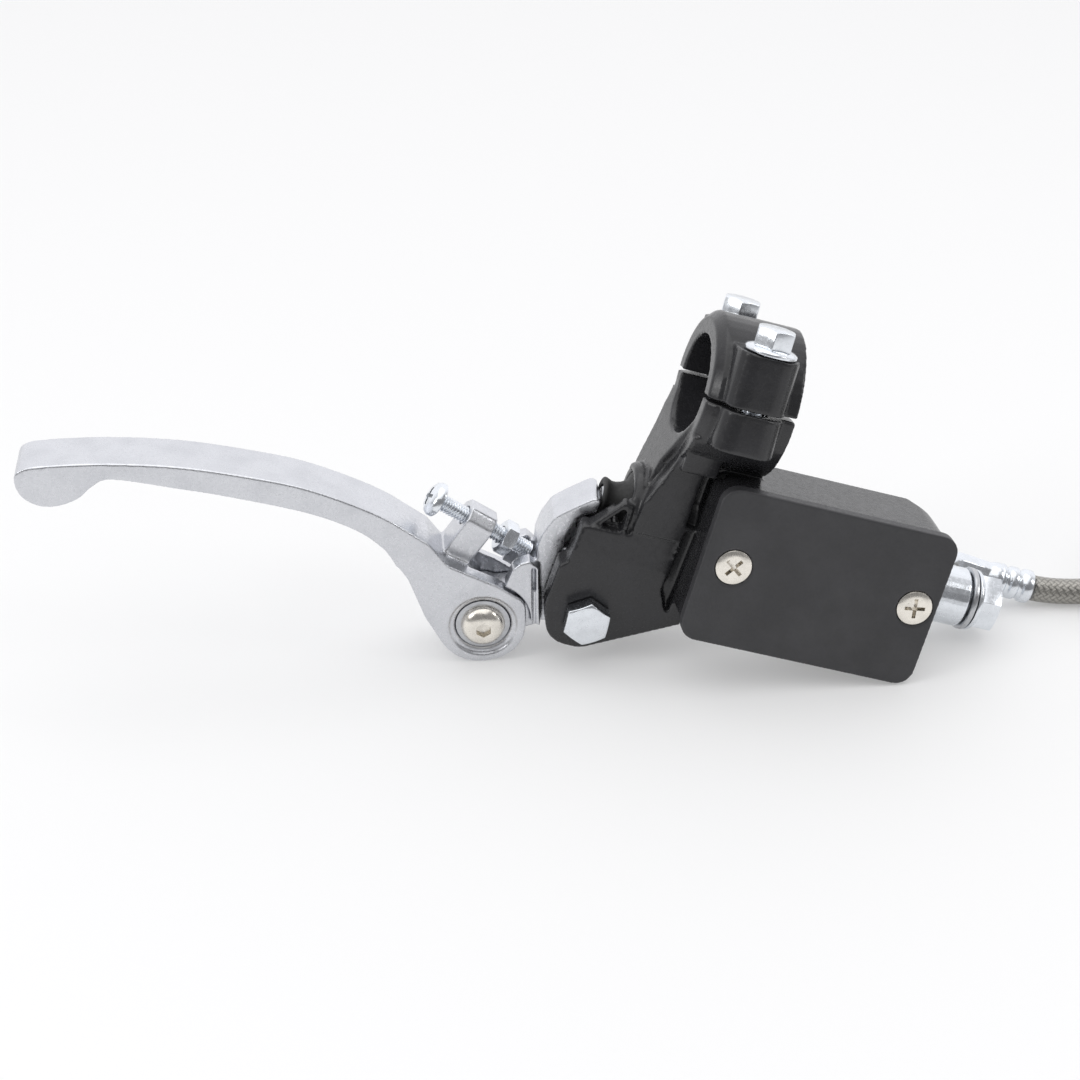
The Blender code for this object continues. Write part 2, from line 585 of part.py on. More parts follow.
def blade_outline():
    """Side view of the folding blade, from the ball end along the top and back underneath."""
    return rounded([(-145.6, -9.2, 2.0), (-127, -8.9, 0), (-111.6, -10.4, 0), (-96.6, -13.6, 0),
                    (-85.2, -16.9, 0), (-74.0, -22.0, 0), (-66.4, -26.5, 0), (-58.7, -32.5, 0),
                    (-54.6, -38.4, 3.0), (-43.6, -44.3, 5.0), (-37.4, -49.0, 4.0),
                    (-37.2, -64.3, 9.4), (-53.6, -64.3, 9.4), (-60.1, -51.8, 8.0),
                    (-63.6, -41.5, 8.0), (-68.6, -33.4, 8.0), (-74.3, -28.4, 0), (-84.9, -23.3, 0),
                    (-101.5, -18.4, 0), (-112, -15.9, 0), (-127.6, -12.7, 2.0),
                    (-132.8, -17.4, 3.0), (-143.0, -19.0, 4.0), (-146.6, -11.6, 1.5)])


def make_lever_blade():
    """The folding blade: one cheek each side of the base's tongue, and the adjuster's boss."""
    blade = side_plate("lever_blade", blade_outline(), BLADE_FRONT, BLADE_BACK, CAST_ALUMINIUM)
    soften = blade.modifiers.new("edge", "BEVEL")
    soften.width = 1.0 * MM
    soften.segments = 2
    soften.limit_method = "ANGLE"
    soften.angle_limit = math.radians(60)
    cheek = arc(FOLD, KNUCKLE_RADIUS, -90, 55, 12) + [Vector((-58.0, -38.0)), Vector((-63.0, -43.0)),
                                                      Vector((-58.0, -56.0)), Vector((-52.5, -62.6))]
    # the slot stays open under the knuckle, so that the tongue clears it when the blade is folded
    slot = arc(FOLD, 8.2, 90, 230, 12) + [Vector((-55.5, -66)), Vector((-30, -66)), Vector((-30, -30)),
                                           Vector((-50, -30)), Vector((-50.5, -42))]
    boss_centre = ADJUSTER_HEAD + ADJUSTER_WAY * 12.4
    below = ADJUSTER_WAY.cross(Y_AXIS)
    boss = rounded([(-4.2, -9.0, 0), (4.2, -9.0, 0), (4.2, 1.2, 0), (2.0, 3.6, 1), (-2.0, 3.6, 1),
                    (-4.2, 1.2, 0)])
    join(blade, side_plate("back_cheek", cheek, BLADE_BACK - 1, CHEEK_BACK, None, True))
    cut(blade, side_plate("tongue_slot", slot, TONGUE[0] - GAP, TONGUE[1] + GAP, None, True))
    join(blade, prism("adjuster_boss", boss, boss_centre, Y_AXIS, below, -3.4, 3.4, None, True))
    cut(blade,
        rod("adjuster_thread", ADJUSTER_HEAD, ADJUSTER_WAY, 4, 24, 2.2, None, True, 16),
        rod("fold_bore", FOLD_PLACE, Y_AXIS, -20, 20, FOLD_RADIUS + 0.1, None, True, 20),
        rod("fold_recess", FOLD_PLACE, Y_AXIS, -20, BLADE_FRONT + 1.6, 6.4, None, True, 32),
        rod("nut_recess", FOLD_PLACE, Y_AXIS, CHEEK_BACK - 1.2, 20, 5.2, None, True, 24))
    move_origin(blade, FOLD_PLACE)
    return blade


def make_adjuster():
    """Reach adjusting screw and its lock nut."""
    screw = turned("adjuster_screw",
                   [(0, ADJUSTER_LENGTH), (1.3, ADJUSTER_LENGTH), (1.9, ADJUSTER_LENGTH - 0.6), (1.9, 2.4),
                    (4.0, 2.4), (4.0, 1.0), (2.6, 0.0), (0, -0.3)], ADJUSTER_HEAD, ADJUSTER_WAY, ZINC,
                   steps=20)
    across = Y_AXIS.cross(ADJUSTER_WAY)
    for turn in (0, 90):
        angle = math.radians(turn + 30)
        first = Y_AXIS * math.cos(angle) + across * math.sin(angle)
        cut(screw, prism(f"adjuster_cross_{turn}", [(-2, -0.4), (2, -0.4), (2, 0.4), (-2, 0.4)],
                         ADJUSTER_HEAD, first, ADJUSTER_WAY.cross(first), -2, 1.4, None, True))
    nut = prism("adjuster_nut", hexagon(7.0), ADJUSTER_HEAD, Y_AXIS, ADJUSTER_WAY.cross(Y_AXIS),
                18.8, 22.0, ZINC)
    cut(nut, rod("nut_thread", ADJUSTER_HEAD, ADJUSTER_WAY, 15, 25, 2.2, None, True, 16))


def make_pivot_parts():
    """Lever pivot bolt, its bush and lock nut."""
    front = EAR_FRONT[0] - GAP
    back = EAR_BACK[1] + GAP
    bolt = rod("lever_pivot_bolt", PIVOT_PLACE, Y_AXIS, front - 0.2, back + 6.4, PIVOT_RADIUS - 0.1, ZINC,
               sides=20)
    join(bolt, side_plate("pivot_bolt_head",
                          [point + Vector(PIVOT) for point in hexagon(9.6, 42)], front - 3.4, front,
                          None, True))
    nut = side_plate("pivot_lock_nut", [point + Vector(PIVOT) for point in hexagon(10.0, 10)], back,
                     back + 5.0, ZINC)
    cut(nut, rod("pivot_nut_thread", PIVOT_PLACE, Y_AXIS, 0, 30, PIVOT_RADIUS + 0.1, None, True, 20))
    sleeve = EAR_BACK[0] - 0.1
    smooth(turned("pivot_bush", [(PIVOT_RADIUS + 0.1, sleeve), (4.1, sleeve), (4.1, EAR_FRONT[1] + 0.1),
                                 (PIVOT_RADIUS + 0.1, EAR_FRONT[1] + 0.1)], PIVOT_PLACE, Y_AXIS, BRASS))


def make_fold_parts():
    """Screw, washer and lock nut of the folding joint."""
    seat = BLADE_FRONT + 1.6
    screw = turned("fold_screw",
                   [(0, CHEEK_BACK + 4.4), (2.0, CHEEK_BACK + 4.4), (FOLD_RADIUS - 0.1, CHEEK_BACK + 3.9),
                    (FOLD_RADIUS - 0.1, seat - 0.7), (4.75, seat - 0.7), (4.75, seat - 1.6),
                    (3.9, seat - 2.9), (2.2, seat - 3.5), (0, seat - 3.6)], FOLD_PLACE, Y_AXIS, NICKEL,
                   steps=28)
    cut(screw, side_plate("fold_socket", [point + Vector(FOLD) for point in hexagon(3.0, 30)], -20,
                          seat - 2.0, None, True))
    smooth(screw)
    smooth(turned("fold_washer", [(FOLD_RADIUS + GAP, seat - 0.3), (6.1, seat - 0.3), (6.1, seat - 0.6),
                                  (FOLD_RADIUS + GAP, seat - 0.6)], FOLD_PLACE, Y_AXIS, BRIGHT_STEEL))
    nut_seat = CHEEK_BACK - 0.9
    nut = side_plate("fold_lock_nut", [point + Vector(FOLD) for point in hexagon(8.0, 20)], nut_seat,
                     nut_seat + 4.4, ZINC)
    cut(nut, rod("fold_nut_thread", FOLD_PLACE, Y_AXIS, 0, 30, FOLD_RADIUS + 0.1, None, True, 20))


# --- outlet and hose -----------------------------------------------------------------------

def make_outlet():
    """Banjo bolt, two crush washers and the hose's banjo fitting."""
    first = OUTLET_FACE + GAP
    eye = first + WASHER_THICKNESS + GAP
    second = eye + EYE_LENGTH + GAP
    head = second + WASHER_THICKNESS + GAP
    for name, start in (("inner_crush_washer", first), ("outer_crush_washer", second)):
        smooth(turned(name, [(5.2, start + WASHER_THICKNESS), (7.2, start + WASHER_THICKNESS),
                             (7.2, start), (5.2, start)], OUTLET_START, ALONG, COPPER, steps=28))
    bolt = turned("banjo_bolt", [(0, head + 6.0), (5.2, head + 6.0), (5.6, head + 1.6), (7.0, head + 1.2),
                                 (7.0, head), (4.6, head), (4.6, 56.0), (3.8, 55.2), (1.7, 55.2),
                                 (1.7, 72.0), (0, 72.8)], OUTLET_START, ALONG, ZINC, steps=24)
    outline = hexagon(12.0, 10)
    join(bolt, prism("banjo_hexagon", outline, OUTLET_START, LID_UP, LID_OUT, head + 1.0, head + 5.8,
                     None, True))
    cut(bolt, rod("banjo_cross_hole", OUTLET_START + ALONG * (eye + EYE_LENGTH / 2), LID_OUT, -9, 9, 1.4,
                  None, True, 12))
    return eye


def make_banjo(name, eye_centre, way, neck, finish):
    """A banjo eye turned about a direction, with its neck swept through points."""
    half = EYE_LENGTH / 2
    eye = turned(name, [(0, half), (EYE_RADIUS - 0.5, half), (EYE_RADIUS, half - 0.5),
                        (EYE_RADIUS, -half + 0.5), (EYE_RADIUS - 0.5, -half), (0, -half)], eye_centre,
                 way, finish, steps=32)
    join(eye, wire(f"{name}_stem", smooth_route(neck, 2.0), NECK_RADIUS,
                   Matrix.Translation(-ORIGIN * MM), None, 2, True))
    cut(eye, rod(f"{name}_bore", eye_centre, way, -half - 3, half + 3, 5.2, None, True, 32))
    return eye


def smooth_route(route, spacing):
    """Evenly spaced points on a smooth curve through a route's own points, all in mm."""
    route = [Vector(point) for point in route]
    ends = [route[0] * 2 - route[1]] + route + [route[-1] * 2 - route[-2]]
    dense = []
    for before, start, end, after in zip(ends, ends[1:], ends[2:], ends[3:]):
        for step in range(16):
            t = step / 16
            dense.append(0.5 * (2 * start + (end - before) * t
                                + (2 * before - 5 * start + 4 * end - after) * t ** 2
                                + (3 * start - before - 3 * end + after) * t ** 3))
    dense.append(route[-1])
    lengths = [0.0]
    for first, second in zip(dense, dense[1:]):
        lengths.append(lengths[-1] + (second - first).length)
    count = max(2, round(lengths[-1] / spacing))
    points = []
    place = 0
    for step in range(count + 1):
        target = lengths[-1] * step / count
        while place < len(lengths) - 2 and lengths[place + 1] < target:
            place += 1
        share = (target - lengths[place]) / (lengths[place + 1] - lengths[place])
        points.append(dense[place].lerp(dense[place + 1], min(1.0, share)))
    return points


BENCH = ORIGIN.z
HOSE_REST = BENCH + HOSE_DIAMETER / 2 + 0.1
FERRULE_LENGTH = 8.6
FERRULE_RADIUS = 3.9
NECK_RADIUS = 3.4

# the route of the hose's free stretch, from the ferrule to the coil
HOSE_ROUTE = [(82.1, 4.1, -60.3), (84.6, 3.9, -60.8), (87.4, 3.6, -61.1), (90.4, 3.3, HOSE_REST),
              (93.6, 3.1, HOSE_REST), (96.8, 3.3, HOSE_REST), (100.0, 4.1, HOSE_REST),
              (103.0, 5.7, HOSE_REST), (104.3, 6.7, HOSE_REST)]


def make_ferrule(name, start, way):
    """A crimped ferrule with a collar at each end."""
    length, radius = FERRULE_LENGTH, FERRULE_RADIUS
    profile = [(0, length), (radius - 0.5, length), (radius, length - 0.6), (radius, length - 2.6),
               (radius - 0.5, length - 3.0), (radius - 0.5, 1.8), (radius, 1.4), (radius, 0.4),
               (radius - 0.4, 0), (0, 0)]
    smooth(turned(name, profile, start, way, ZINC))


def make_hose():
    """The braided hose: near fitting and ferrule, free stretch, coil and the fitting at its far end."""
    eye_start = make_outlet()
    eye_centre = OUTLET_START + ALONG * (eye_start + EYE_LENGTH / 2)
    neck = [eye_centre, Vector((59.0, 0.6, -52.9)), Vector((62.6, 4.8, -53.4)), Vector((68.5, 5.3, -55.9)),
            Vector((73.2, 4.7, -57.6))]
    make_banjo("hose_banjo_fitting", eye_centre, ALONG, neck, ZINC)
    route = [Vector(place) for place in HOSE_ROUTE]
    way = (route[0] - neck[-1]).normalized()
    make_ferrule("hose_ferrule", neck[-1] + way * GAP, way)
    wire("brake_hose", smooth_route(HOSE_ROUTE, 2.5), HOSE_DIAMETER / 2,
         Matrix.Translation(-ORIGIN * MM), BRAID, 2)

    middle = Vector((COIL_CENTRE[0], COIL_CENTRE[1], BENCH))
    inner, outer = COIL_RADIUS - HOSE_DIAMETER, COIL_RADIUS + HOSE_DIAMETER
    low, high = 0.1, 0.1 + 2 * HOSE_DIAMETER
    ring = turned("brake_hose_coil", [(inner + 1.5, high), (outer - 1.5, high), (outer, high - 1.5),
                                      (outer, low + 1.5), (outer - 1.5, low), (inner + 1.5, low),
                                      (inner, low + 1.5), (inner, high - 1.5)], middle, Z_AXIS, BRAID,
                  steps=40)
    smooth(ring)
    # the far fitting lies on the coil, along a chord of its front side
    top = high + GAP
    ferrule_start = middle + Vector((14.4, -COIL_RADIUS, top + EYE_LENGTH / 2))
    make_ferrule("far_hose_ferrule", ferrule_start, -X_AXIS)
    neck_start = ferrule_start - X_AXIS * (FERRULE_LENGTH + GAP)
    far_eye = middle + Vector((-7.6, -COIL_RADIUS, top + EYE_LENGTH / 2))
    far_neck = [far_eye, far_eye + Vector((6.4, 0, 0)), neck_start]
    make_banjo("far_banjo_fitting", far_eye, Z_AXIS, far_neck, ZINC)


make_body()
make_clamp_cap()
make_clamp_bolts()
make_lid()
make_lid_screws()
make_diaphragm()
make_piston_parts()
make_return_spring()
make_lever_base()
make_lever_blade()
make_adjuster()
make_pivot_parts()
make_fold_parts()
make_hose()
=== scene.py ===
"""Looks for the motorcycle brake master cylinder: detailed pieces and materials around the frame."""
import json
import math

import bmesh
import bpy
from mathutils import Matrix, Vector

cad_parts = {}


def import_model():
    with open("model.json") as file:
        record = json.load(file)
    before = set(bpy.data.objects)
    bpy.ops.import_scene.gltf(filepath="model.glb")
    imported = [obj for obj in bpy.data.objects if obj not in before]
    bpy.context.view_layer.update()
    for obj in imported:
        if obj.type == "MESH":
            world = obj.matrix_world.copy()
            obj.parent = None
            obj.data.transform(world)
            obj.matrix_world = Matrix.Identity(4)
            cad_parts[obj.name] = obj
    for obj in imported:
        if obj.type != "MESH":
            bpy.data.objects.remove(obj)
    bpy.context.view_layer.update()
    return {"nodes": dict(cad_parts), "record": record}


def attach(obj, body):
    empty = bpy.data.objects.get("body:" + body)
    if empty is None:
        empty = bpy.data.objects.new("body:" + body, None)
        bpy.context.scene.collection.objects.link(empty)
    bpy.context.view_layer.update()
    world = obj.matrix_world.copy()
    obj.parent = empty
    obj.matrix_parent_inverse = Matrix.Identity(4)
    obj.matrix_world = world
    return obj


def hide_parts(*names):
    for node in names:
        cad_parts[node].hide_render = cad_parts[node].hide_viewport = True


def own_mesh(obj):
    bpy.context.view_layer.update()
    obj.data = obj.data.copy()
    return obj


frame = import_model()
record = frame["record"]
MM = 0.001

# --- places, from the record's mounts and joints --------------------------------------------

MOUNTS = {mount["name"]: mount for mount in record["mounts"]}
JOINTS = {joint["name"]: joint for joint in record["behaviour"]["joints"]}
ALONG = Vector(MOUNTS["handlebar_clamp"]["axis"])
LID_OUT = Vector(MOUNTS["lid_face"]["axis"])
LID_UP = LID_OUT.cross(ALONG)
X_AXIS, Y_AXIS, Z_AXIS = Vector((1, 0, 0)), Vector((0, 1, 0)), Vector((0, 0, 1))
RISE = Vector((-ALONG.z, 0, ALONG.x))
CLAMP_LEAN = math.radians(15.5)
CLAMP_UP = RISE * math.cos(CLAMP_LEAN) + Y_AXIS * math.sin(CLAMP_LEAN)
CLAMP_OUT = ALONG.cross(CLAMP_UP)
CLAMP_WIDTH = 20.0
# everything below is in mm from the handlebar bore's centre on the clamp's left end face
BAR = Vector(MOUNTS["handlebar_clamp"]["pos_m"]) - ALONG * CLAMP_WIDTH / 2 * MM
PIVOT = (Vector(JOINTS["lever_pivot"]["pos_m"]) - BAR) / MM
FOLD = (Vector(JOINTS["lever_fold"]["pos_m"]) - BAR) / MM
ADJUSTER_WAY = Vector(JOINTS["reach_adjuster"]["axis"])
BENCH = -BAR.z / MM
ADJUSTER_HEAD = Vector((-57.96, -1.5, -25.19))
EAR_SLOT = (-7.0, 3.3)
BLADE_FRONT, BLADE_BACK = -10.25, 2.2
BORE_RADIUS, MOUTH_RADIUS = 5.5, 6.9
BORE_UP, BORE_OUT = -31.0, -3.0
OUTLET_UP, OUTLET_OUT = -34.4, 1.1
BAR_CLEARANCE_RADIUS = 11.3
RING_EDGE = [(14.4, -0.4), (17.4, -0.4), (17.4, 2.6)]
CLAMP_BOLT_ALONG, CLAMP_BOLT_SEAT, CLAMP_BOLT_OUT = 10.2, 12.8, 16.0
LID_SCREWS_ALONG, LID_SCREW_UP, LID_FACE = (16.5, 59.1), -32.8, 19.2
FOLD_SEAT = -8.65
WASHER_STARTS, WASHER_THICKNESS = (65.0, 76.4), 1.2
BANJO_HEAD_START = 77.9


def world(place):
    """A place in mm from the handlebar bore, in the model's metres."""
    return BAR + Vector(place) * MM


# --- camera, floor and light ----------------------------------------------------------------

CAMERA_TURN = (4.03, 32.06, -0.25)          # yaw, pitch and roll, degrees
CAMERA_PLACE = (-67.03, -476.26, 260.17)
CAMERA_LENS, CAMERA_SENSOR = 83.33, 36
FLOOR_SIZE, FLOOR_COLOUR, FLOOR_GLOW = 3.0, (0.6, 0.6, 0.6, 1), 0.3
SURROUND_STRENGTH = 1.12
# level of the surroundings from the front (0) to the back (1)
SURROUND_STOPS = ((0.0, 0.2), (0.3, 0.27), (0.52, 0.52), (0.72, 1.0))


def make_camera():
    """The camera at the product picture's angle, with a long lens."""
    yaw, pitch, roll = (math.radians(angle) for angle in CAMERA_TURN)
    look = Vector((math.sin(yaw) * math.cos(pitch), math.cos(yaw) * math.cos(pitch), -math.sin(pitch)))
    level = Vector((math.cos(yaw), -math.sin(yaw), 0))
    above = level.cross(look)
    right = level * math.cos(roll) + above * math.sin(roll)
    up = above * math.cos(roll) - level * math.sin(roll)
    data = bpy.data.cameras.new("camera")
    data.sensor_width = CAMERA_SENSOR
    data.lens = CAMERA_LENS
    camera = bpy.data.objects.new("camera", data)
    bpy.context.scene.collection.objects.link(camera)
    turn = Matrix((right, up, -look)).transposed().to_4x4()
    camera.matrix_world = Matrix.Translation(world(CAMERA_PLACE)) @ turn
    bpy.context.scene.camera = camera


def add_light(name, place, target, size, power):
    """A square soft box that faces a target."""
    data = bpy.data.lights.new(name, "AREA")
    data.shape = "SQUARE"
    data.size = size
    data.energy = power
    light = bpy.data.objects.new(name, data)
    bpy.context.scene.collection.objects.link(light)
    way = Vector(target) - Vector(place)
    light.matrix_world = Matrix.Translation(place) @ way.to_track_quat("-Z", "Y").to_matrix().to_4x4()


def make_stage():
    """Seamless white floor, white surroundings and soft boxes."""
    shape = bmesh.new()
    bmesh.ops.create_grid(shape, x_segments=1, y_segments=1, size=FLOOR_SIZE)
    mesh = bpy.data.meshes.new("floor")
    shape.to_mesh(mesh)
    shape.free()
    floor = bpy.data.objects.new("floor", mesh)
    bpy.context.scene.collection.objects.link(floor)
    finish = bpy.data.materials.new("floor_white")
    finish.use_nodes = True
    shader = finish.node_tree.nodes["Principled BSDF"]
    shader.inputs["Base Color"].default_value = FLOOR_COLOUR
    # a lit floor, as on a light table, keeps the shadows pale
    shader.inputs["Emission Color"].default_value = (1.0, 1.0, 1.0, 1)
    shader.inputs["Emission Strength"].default_value = FLOOR_GLOW
    shader.inputs["Roughness"].default_value = 0.55
    shader.inputs["Specular IOR Level"].default_value = 0.2
    mesh.materials.append(finish)

    surround = bpy.data.worlds.new("studio")
    surround.use_nodes = True
    tree = surround.node_tree
    background = tree.nodes["Background"]
    coordinates = tree.nodes.new("ShaderNodeTexCoord")
    split = tree.nodes.new("ShaderNodeSeparateXYZ")
    spread = tree.nodes.new("ShaderNodeMapRange")
    spread.inputs["From Min"].default_value = -1.0
    ramp = tree.nodes.new("ShaderNodeValToRGB")
    tree.links.new(coordinates.outputs["Generated"], split.inputs[0])
    tree.links.new(split.outputs["Y"], spread.inputs["Value"])
    tree.links.new(spread.outputs["Result"], ramp.inputs["Fac"])
    tree.links.new(ramp.outputs["Color"], background.inputs["Color"])
    while len(ramp.color_ramp.elements) < len(SURROUND_STOPS):
        ramp.color_ramp.elements.new(0.5)
    for element, (position, level) in zip(ramp.color_ramp.elements, SURROUND_STOPS):
        element.position = position
        element.color = (level, level, level * 1.02, 1)
    background.inputs["Strength"].default_value = SURROUND_STRENGTH
    bpy.context.scene.world = surround
    add_light("top_soft_box", (-0.05, -0.1, 1.1), (0, 0.02, 0.03), 1.5, 6.8)
    add_light("left_soft_box", (-0.8, -0.35, 0.55), (0, 0, 0.03), 0.35, 1.6)
    add_light("right_strip", (0.7, -0.2, 0.45), (0.05, 0, 0.03), 0.25, 0.8)
    bpy.context.scene.view_settings.view_transform = "Standard"


make_camera()
make_stage()


# --- materials ------------------------------------------------------------------------------

class Finish:
    """A procedural material: a Principled shader with texture nodes on object coordinates."""

    def __init__(self, name, colour, roughness, metallic=0.0, **sockets):
        self.material = bpy.data.materials.new(name)
        self.material.use_nodes = True
        self.tree = self.material.node_tree
        self.shader = self.tree.nodes["Principled BSDF"]
        self.shader.inputs["Metallic"].default_value = metallic
        for socket, value in sockets.items():
            self.shader.inputs[socket.replace("_", " ")].default_value = value
        self.place = self.tree.nodes.new("ShaderNodeTexCoord").outputs["Object"]
        self.colour = colour
        self.roughness = roughness
        self.rough_link = None
        self.normal = None

    def put(self, socket, colour):
        """Set or link a colour."""
        if isinstance(colour, tuple):
            socket.default_value = (*colour, 1)
        else:
            self.tree.links.new(colour, socket)

    def noise(self, size, detail):
        """A noise value whose grains are about size mm."""
        node = self.tree.nodes.new("ShaderNodeTexNoise")
        node.inputs["Scale"].default_value = 1 / (size * MM)
        node.inputs["Detail"].default_value = detail
        self.tree.links.new(self.place, node.inputs["Vector"])
        return node.outputs["Fac"]

    def ramp(self, value, low, high, low_colour=(0, 0, 0), high_colour=(1, 1, 1)):
        """A value spread between two colours."""
        node = self.tree.nodes.new("ShaderNodeValToRGB")
        node.color_ramp.elements[0].position = low
        node.color_ramp.elements[0].color = (*low_colour, 1)
        node.color_ramp.elements[1].position = high
        node.color_ramp.elements[1].color = (*high_colour, 1)
        self.tree.links.new(value, node.inputs["Fac"])
        return node.outputs["Color"]

    def tint(self, mask, colour, amount):
        """Mix another colour in where a mask is bright."""
        scaled = self.tree.nodes.new("ShaderNodeMath")
        scaled.operation = "MULTIPLY"
        scaled.inputs[1].default_value = amount
        self.tree.links.new(mask, scaled.inputs[0])
        mix = self.tree.nodes.new("ShaderNodeMix")
        mix.data_type = "RGBA"
        self.tree.links.new(scaled.outputs[0], mix.inputs["Factor"])
        self.put(mix.inputs["A"], self.colour)
        mix.inputs["B"].default_value = (*colour, 1)
        self.colour = mix.outputs["Result"]

    def rough_from(self, value, low, high):
        """Roughness that runs from low to high with a value."""
        node = self.tree.nodes.new("ShaderNodeMapRange")
        node.inputs["From Min"].default_value = 0.3
        node.inputs["From Max"].default_value = 0.7
        node.inputs["To Min"].default_value = low
        node.inputs["To Max"].default_value = high
        self.tree.links.new(value, node.inputs["Value"])
        self.rough_link = node.outputs["Result"]

    def bump(self, height, depth, strength):
        """Relief of about depth mm."""
        node = self.tree.nodes.new("ShaderNodeBump")
        node.inputs["Strength"].default_value = strength
        node.inputs["Distance"].default_value = depth * MM
        self.tree.links.new(height, node.inputs["Height"])
        if self.normal is not None:
            self.tree.links.new(self.normal, node.inputs["Normal"])
        self.normal = node.outputs["Normal"]

    def done(self):
        """Link what was built to the shader, and give the material."""
        links = self.tree.links
        self.put(self.shader.inputs["Base Color"], self.colour)
        if self.rough_link is None:
            self.shader.inputs["Roughness"].default_value = self.roughness
        else:
            links.new(self.rough_link, self.shader.inputs["Roughness"])
        if self.normal is not None:
            links.new(self.normal, self.shader.inputs["Normal"])
        return self.material


def black_casting():
    """Satin black paint over a slightly uneven casting."""
    finish = Finish("black_casting", (0.021, 0.021, 0.023), 0.25)
    mottle = finish.noise(6.0, 4)
    finish.tint(finish.ramp(mottle, 0.45, 0.7), (0.027, 0.027, 0.030), 0.7)
    finish.rough_from(finish.noise(1.2, 3), 0.18, 0.32)
    finish.bump(finish.noise(0.55, 2), 0.03, 0.45)
    finish.bump(finish.noise(4.0, 2), 0.10, 0.3)
    return finish.done()


def black_lid():
    """Fine textured satin black."""
    finish = Finish("black_lid", (0.036, 0.036, 0.039), 0.45)
    finish.tint(finish.ramp(finish.noise(9.0, 3), 0.4, 0.7), (0.05, 0.05, 0.054), 0.7)
    finish.rough_from(finish.noise(0.8, 3), 0.42, 0.56)
    finish.bump(finish.noise(0.35, 2), 0.035, 0.7)
    return finish.done()


def cast_aluminium():
    """Tumbled bright cast aluminium."""
    finish = Finish("cast_aluminium", (0.66, 0.67, 0.70), 0.3, 1.0)
    finish.tint(finish.ramp(finish.noise(7.0, 5), 0.42, 0.7), (0.56, 0.57, 0.60), 0.6)
    finish.tint(finish.ramp(finish.noise(0.45, 3), 0.55, 0.75), (0.5, 0.51, 0.54), 0.5)
    finish.rough_from(finish.noise(0.9, 4), 0.22, 0.4)
    finish.bump(finish.noise(0.4, 3), 0.025, 0.6)
    return finish.done()


def zinc(name, colour, low=0.16, high=0.3):
    """Bright plated steel with faint clouds."""
    finish = Finish(name, colour, 0.22, 1.0)
    darker = tuple(channel * 0.86 for channel in colour)
    finish.tint(finish.ramp(finish.noise(2.5, 4), 0.4, 0.7), darker, 0.7)
    finish.rough_from(finish.noise(0.8, 4), low, high)
    finish.bump(finish.noise(0.5, 2), 0.01, 0.4)
    return finish.done()


def rubber():
    """Matt black rubber."""
    finish = Finish("rubber", (0.018, 0.018, 0.018), 0.6)
    finish.rough_from(finish.noise(0.8, 3), 0.5, 0.7)
    finish.bump(finish.noise(0.4, 2), 0.02, 0.5)
    return finish.done()


def brass():
    """Plain bright brass."""
    finish = Finish("brass", (0.72, 0.55, 0.28), 0.3, 1.0)
    finish.rough_from(finish.noise(0.6, 3), 0.25, 0.4)
    finish.bump(finish.noise(0.3, 2), 0.01, 0.4)
    return finish.done()


def braided():
    """A plain finish for the hidden CAD hose; the cord has the woven one."""
    finish = Finish("braid", (0.42, 0.40, 0.36), 0.4, 0.8)
    finish.rough_from(finish.noise(0.5, 3), 0.3, 0.5)
    return finish.done()


FINISHES = {
    "black_casting": black_casting(), "black_lid": black_lid(), "cast_aluminium": cast_aluminium(),
    "zinc_steel": zinc("zinc_steel", (0.80, 0.83, 0.87)),
    "nickel_steel": zinc("nickel_steel", (0.86, 0.82, 0.75), 0.18, 0.32),
    "machined_steel": zinc("machined_steel", (0.55, 0.56, 0.58), 0.25, 0.4),
    "rubber": rubber(), "brass": brass(), "braid": braided()}

for part in record["subparts"]:
    node = frame["nodes"][part["node"]]
    node.data.materials.clear()
    node.data.materials.append(FINISHES[part["material_slot"]])

# --- mesh tools -----------------------------------------------------------------------------

SCENE = bpy.context.scene.collection


def new_object(name, shape):
    """An object from a bmesh in the row frame."""
    mesh = bpy.data.meshes.new(name)
    bmesh.ops.recalc_face_normals(shape, faces=shape.faces)
    shape.to_mesh(mesh)
    shape.free()
    made = bpy.data.objects.new(name, mesh)
    SCENE.objects.link(made)
    return made


def lathe(name, profile, place, way, steps=72):
    """A closed turned solid from a (radius, along) profile in mm; solid when it starts on the axis."""
    way = Vector(way).normalized()
    side = way.orthogonal().normalized()
    across = way.cross(side)
    shape = bmesh.new()
    rings = []
    for radius, along in profile:
        if radius <= 0:
            rings.append([shape.verts.new(world(Vector(place) + way * along))])
            continue
        ring = []
        for step in range(steps):
            angle = 2 * math.pi * step / steps
            spoke = side * math.cos(angle) + across * math.sin(angle)
            ring.append(shape.verts.new(world(Vector(place) + way * along + spoke * radius)))
        rings.append(ring)
    if len(rings[0]) > 1:
        rings.append(rings[0])
    for first, second in zip(rings, rings[1:]):
        for step in range(steps):
            after = (step + 1) % steps
            corners = [first[step % len(first)], first[after % len(first)],
                       second[after % len(second)], second[step % len(second)]]
            shape.faces.new(list(dict.fromkeys(corners)))
    return new_object(name, shape)


def prism(name, outline, low, high, first=X_AXIS, second=Z_AXIS, place=(0, 0, 0)):
    """An outline in mm along two directions, extruded from low to high along their cross product."""
    third = first.cross(second)
    shape = bmesh.new()
    levels = [[shape.verts.new(world(Vector(place) + first * a + second * b + third * level))
               for a, b in outline] for level in (low, high)]
    shape.faces.new(levels[0])
    shape.faces.new(levels[1])
    count = len(outline)
    for index in range(count):
        after = (index + 1) % count
        shape.faces.new((levels[0][index], levels[0][after], levels[1][after], levels[1][index]))
    return new_object(name, shape)


def side_plate(name, outline, front, back):
    """An outline in x and z between two depths."""
    return prism(name, outline, -back, -front)


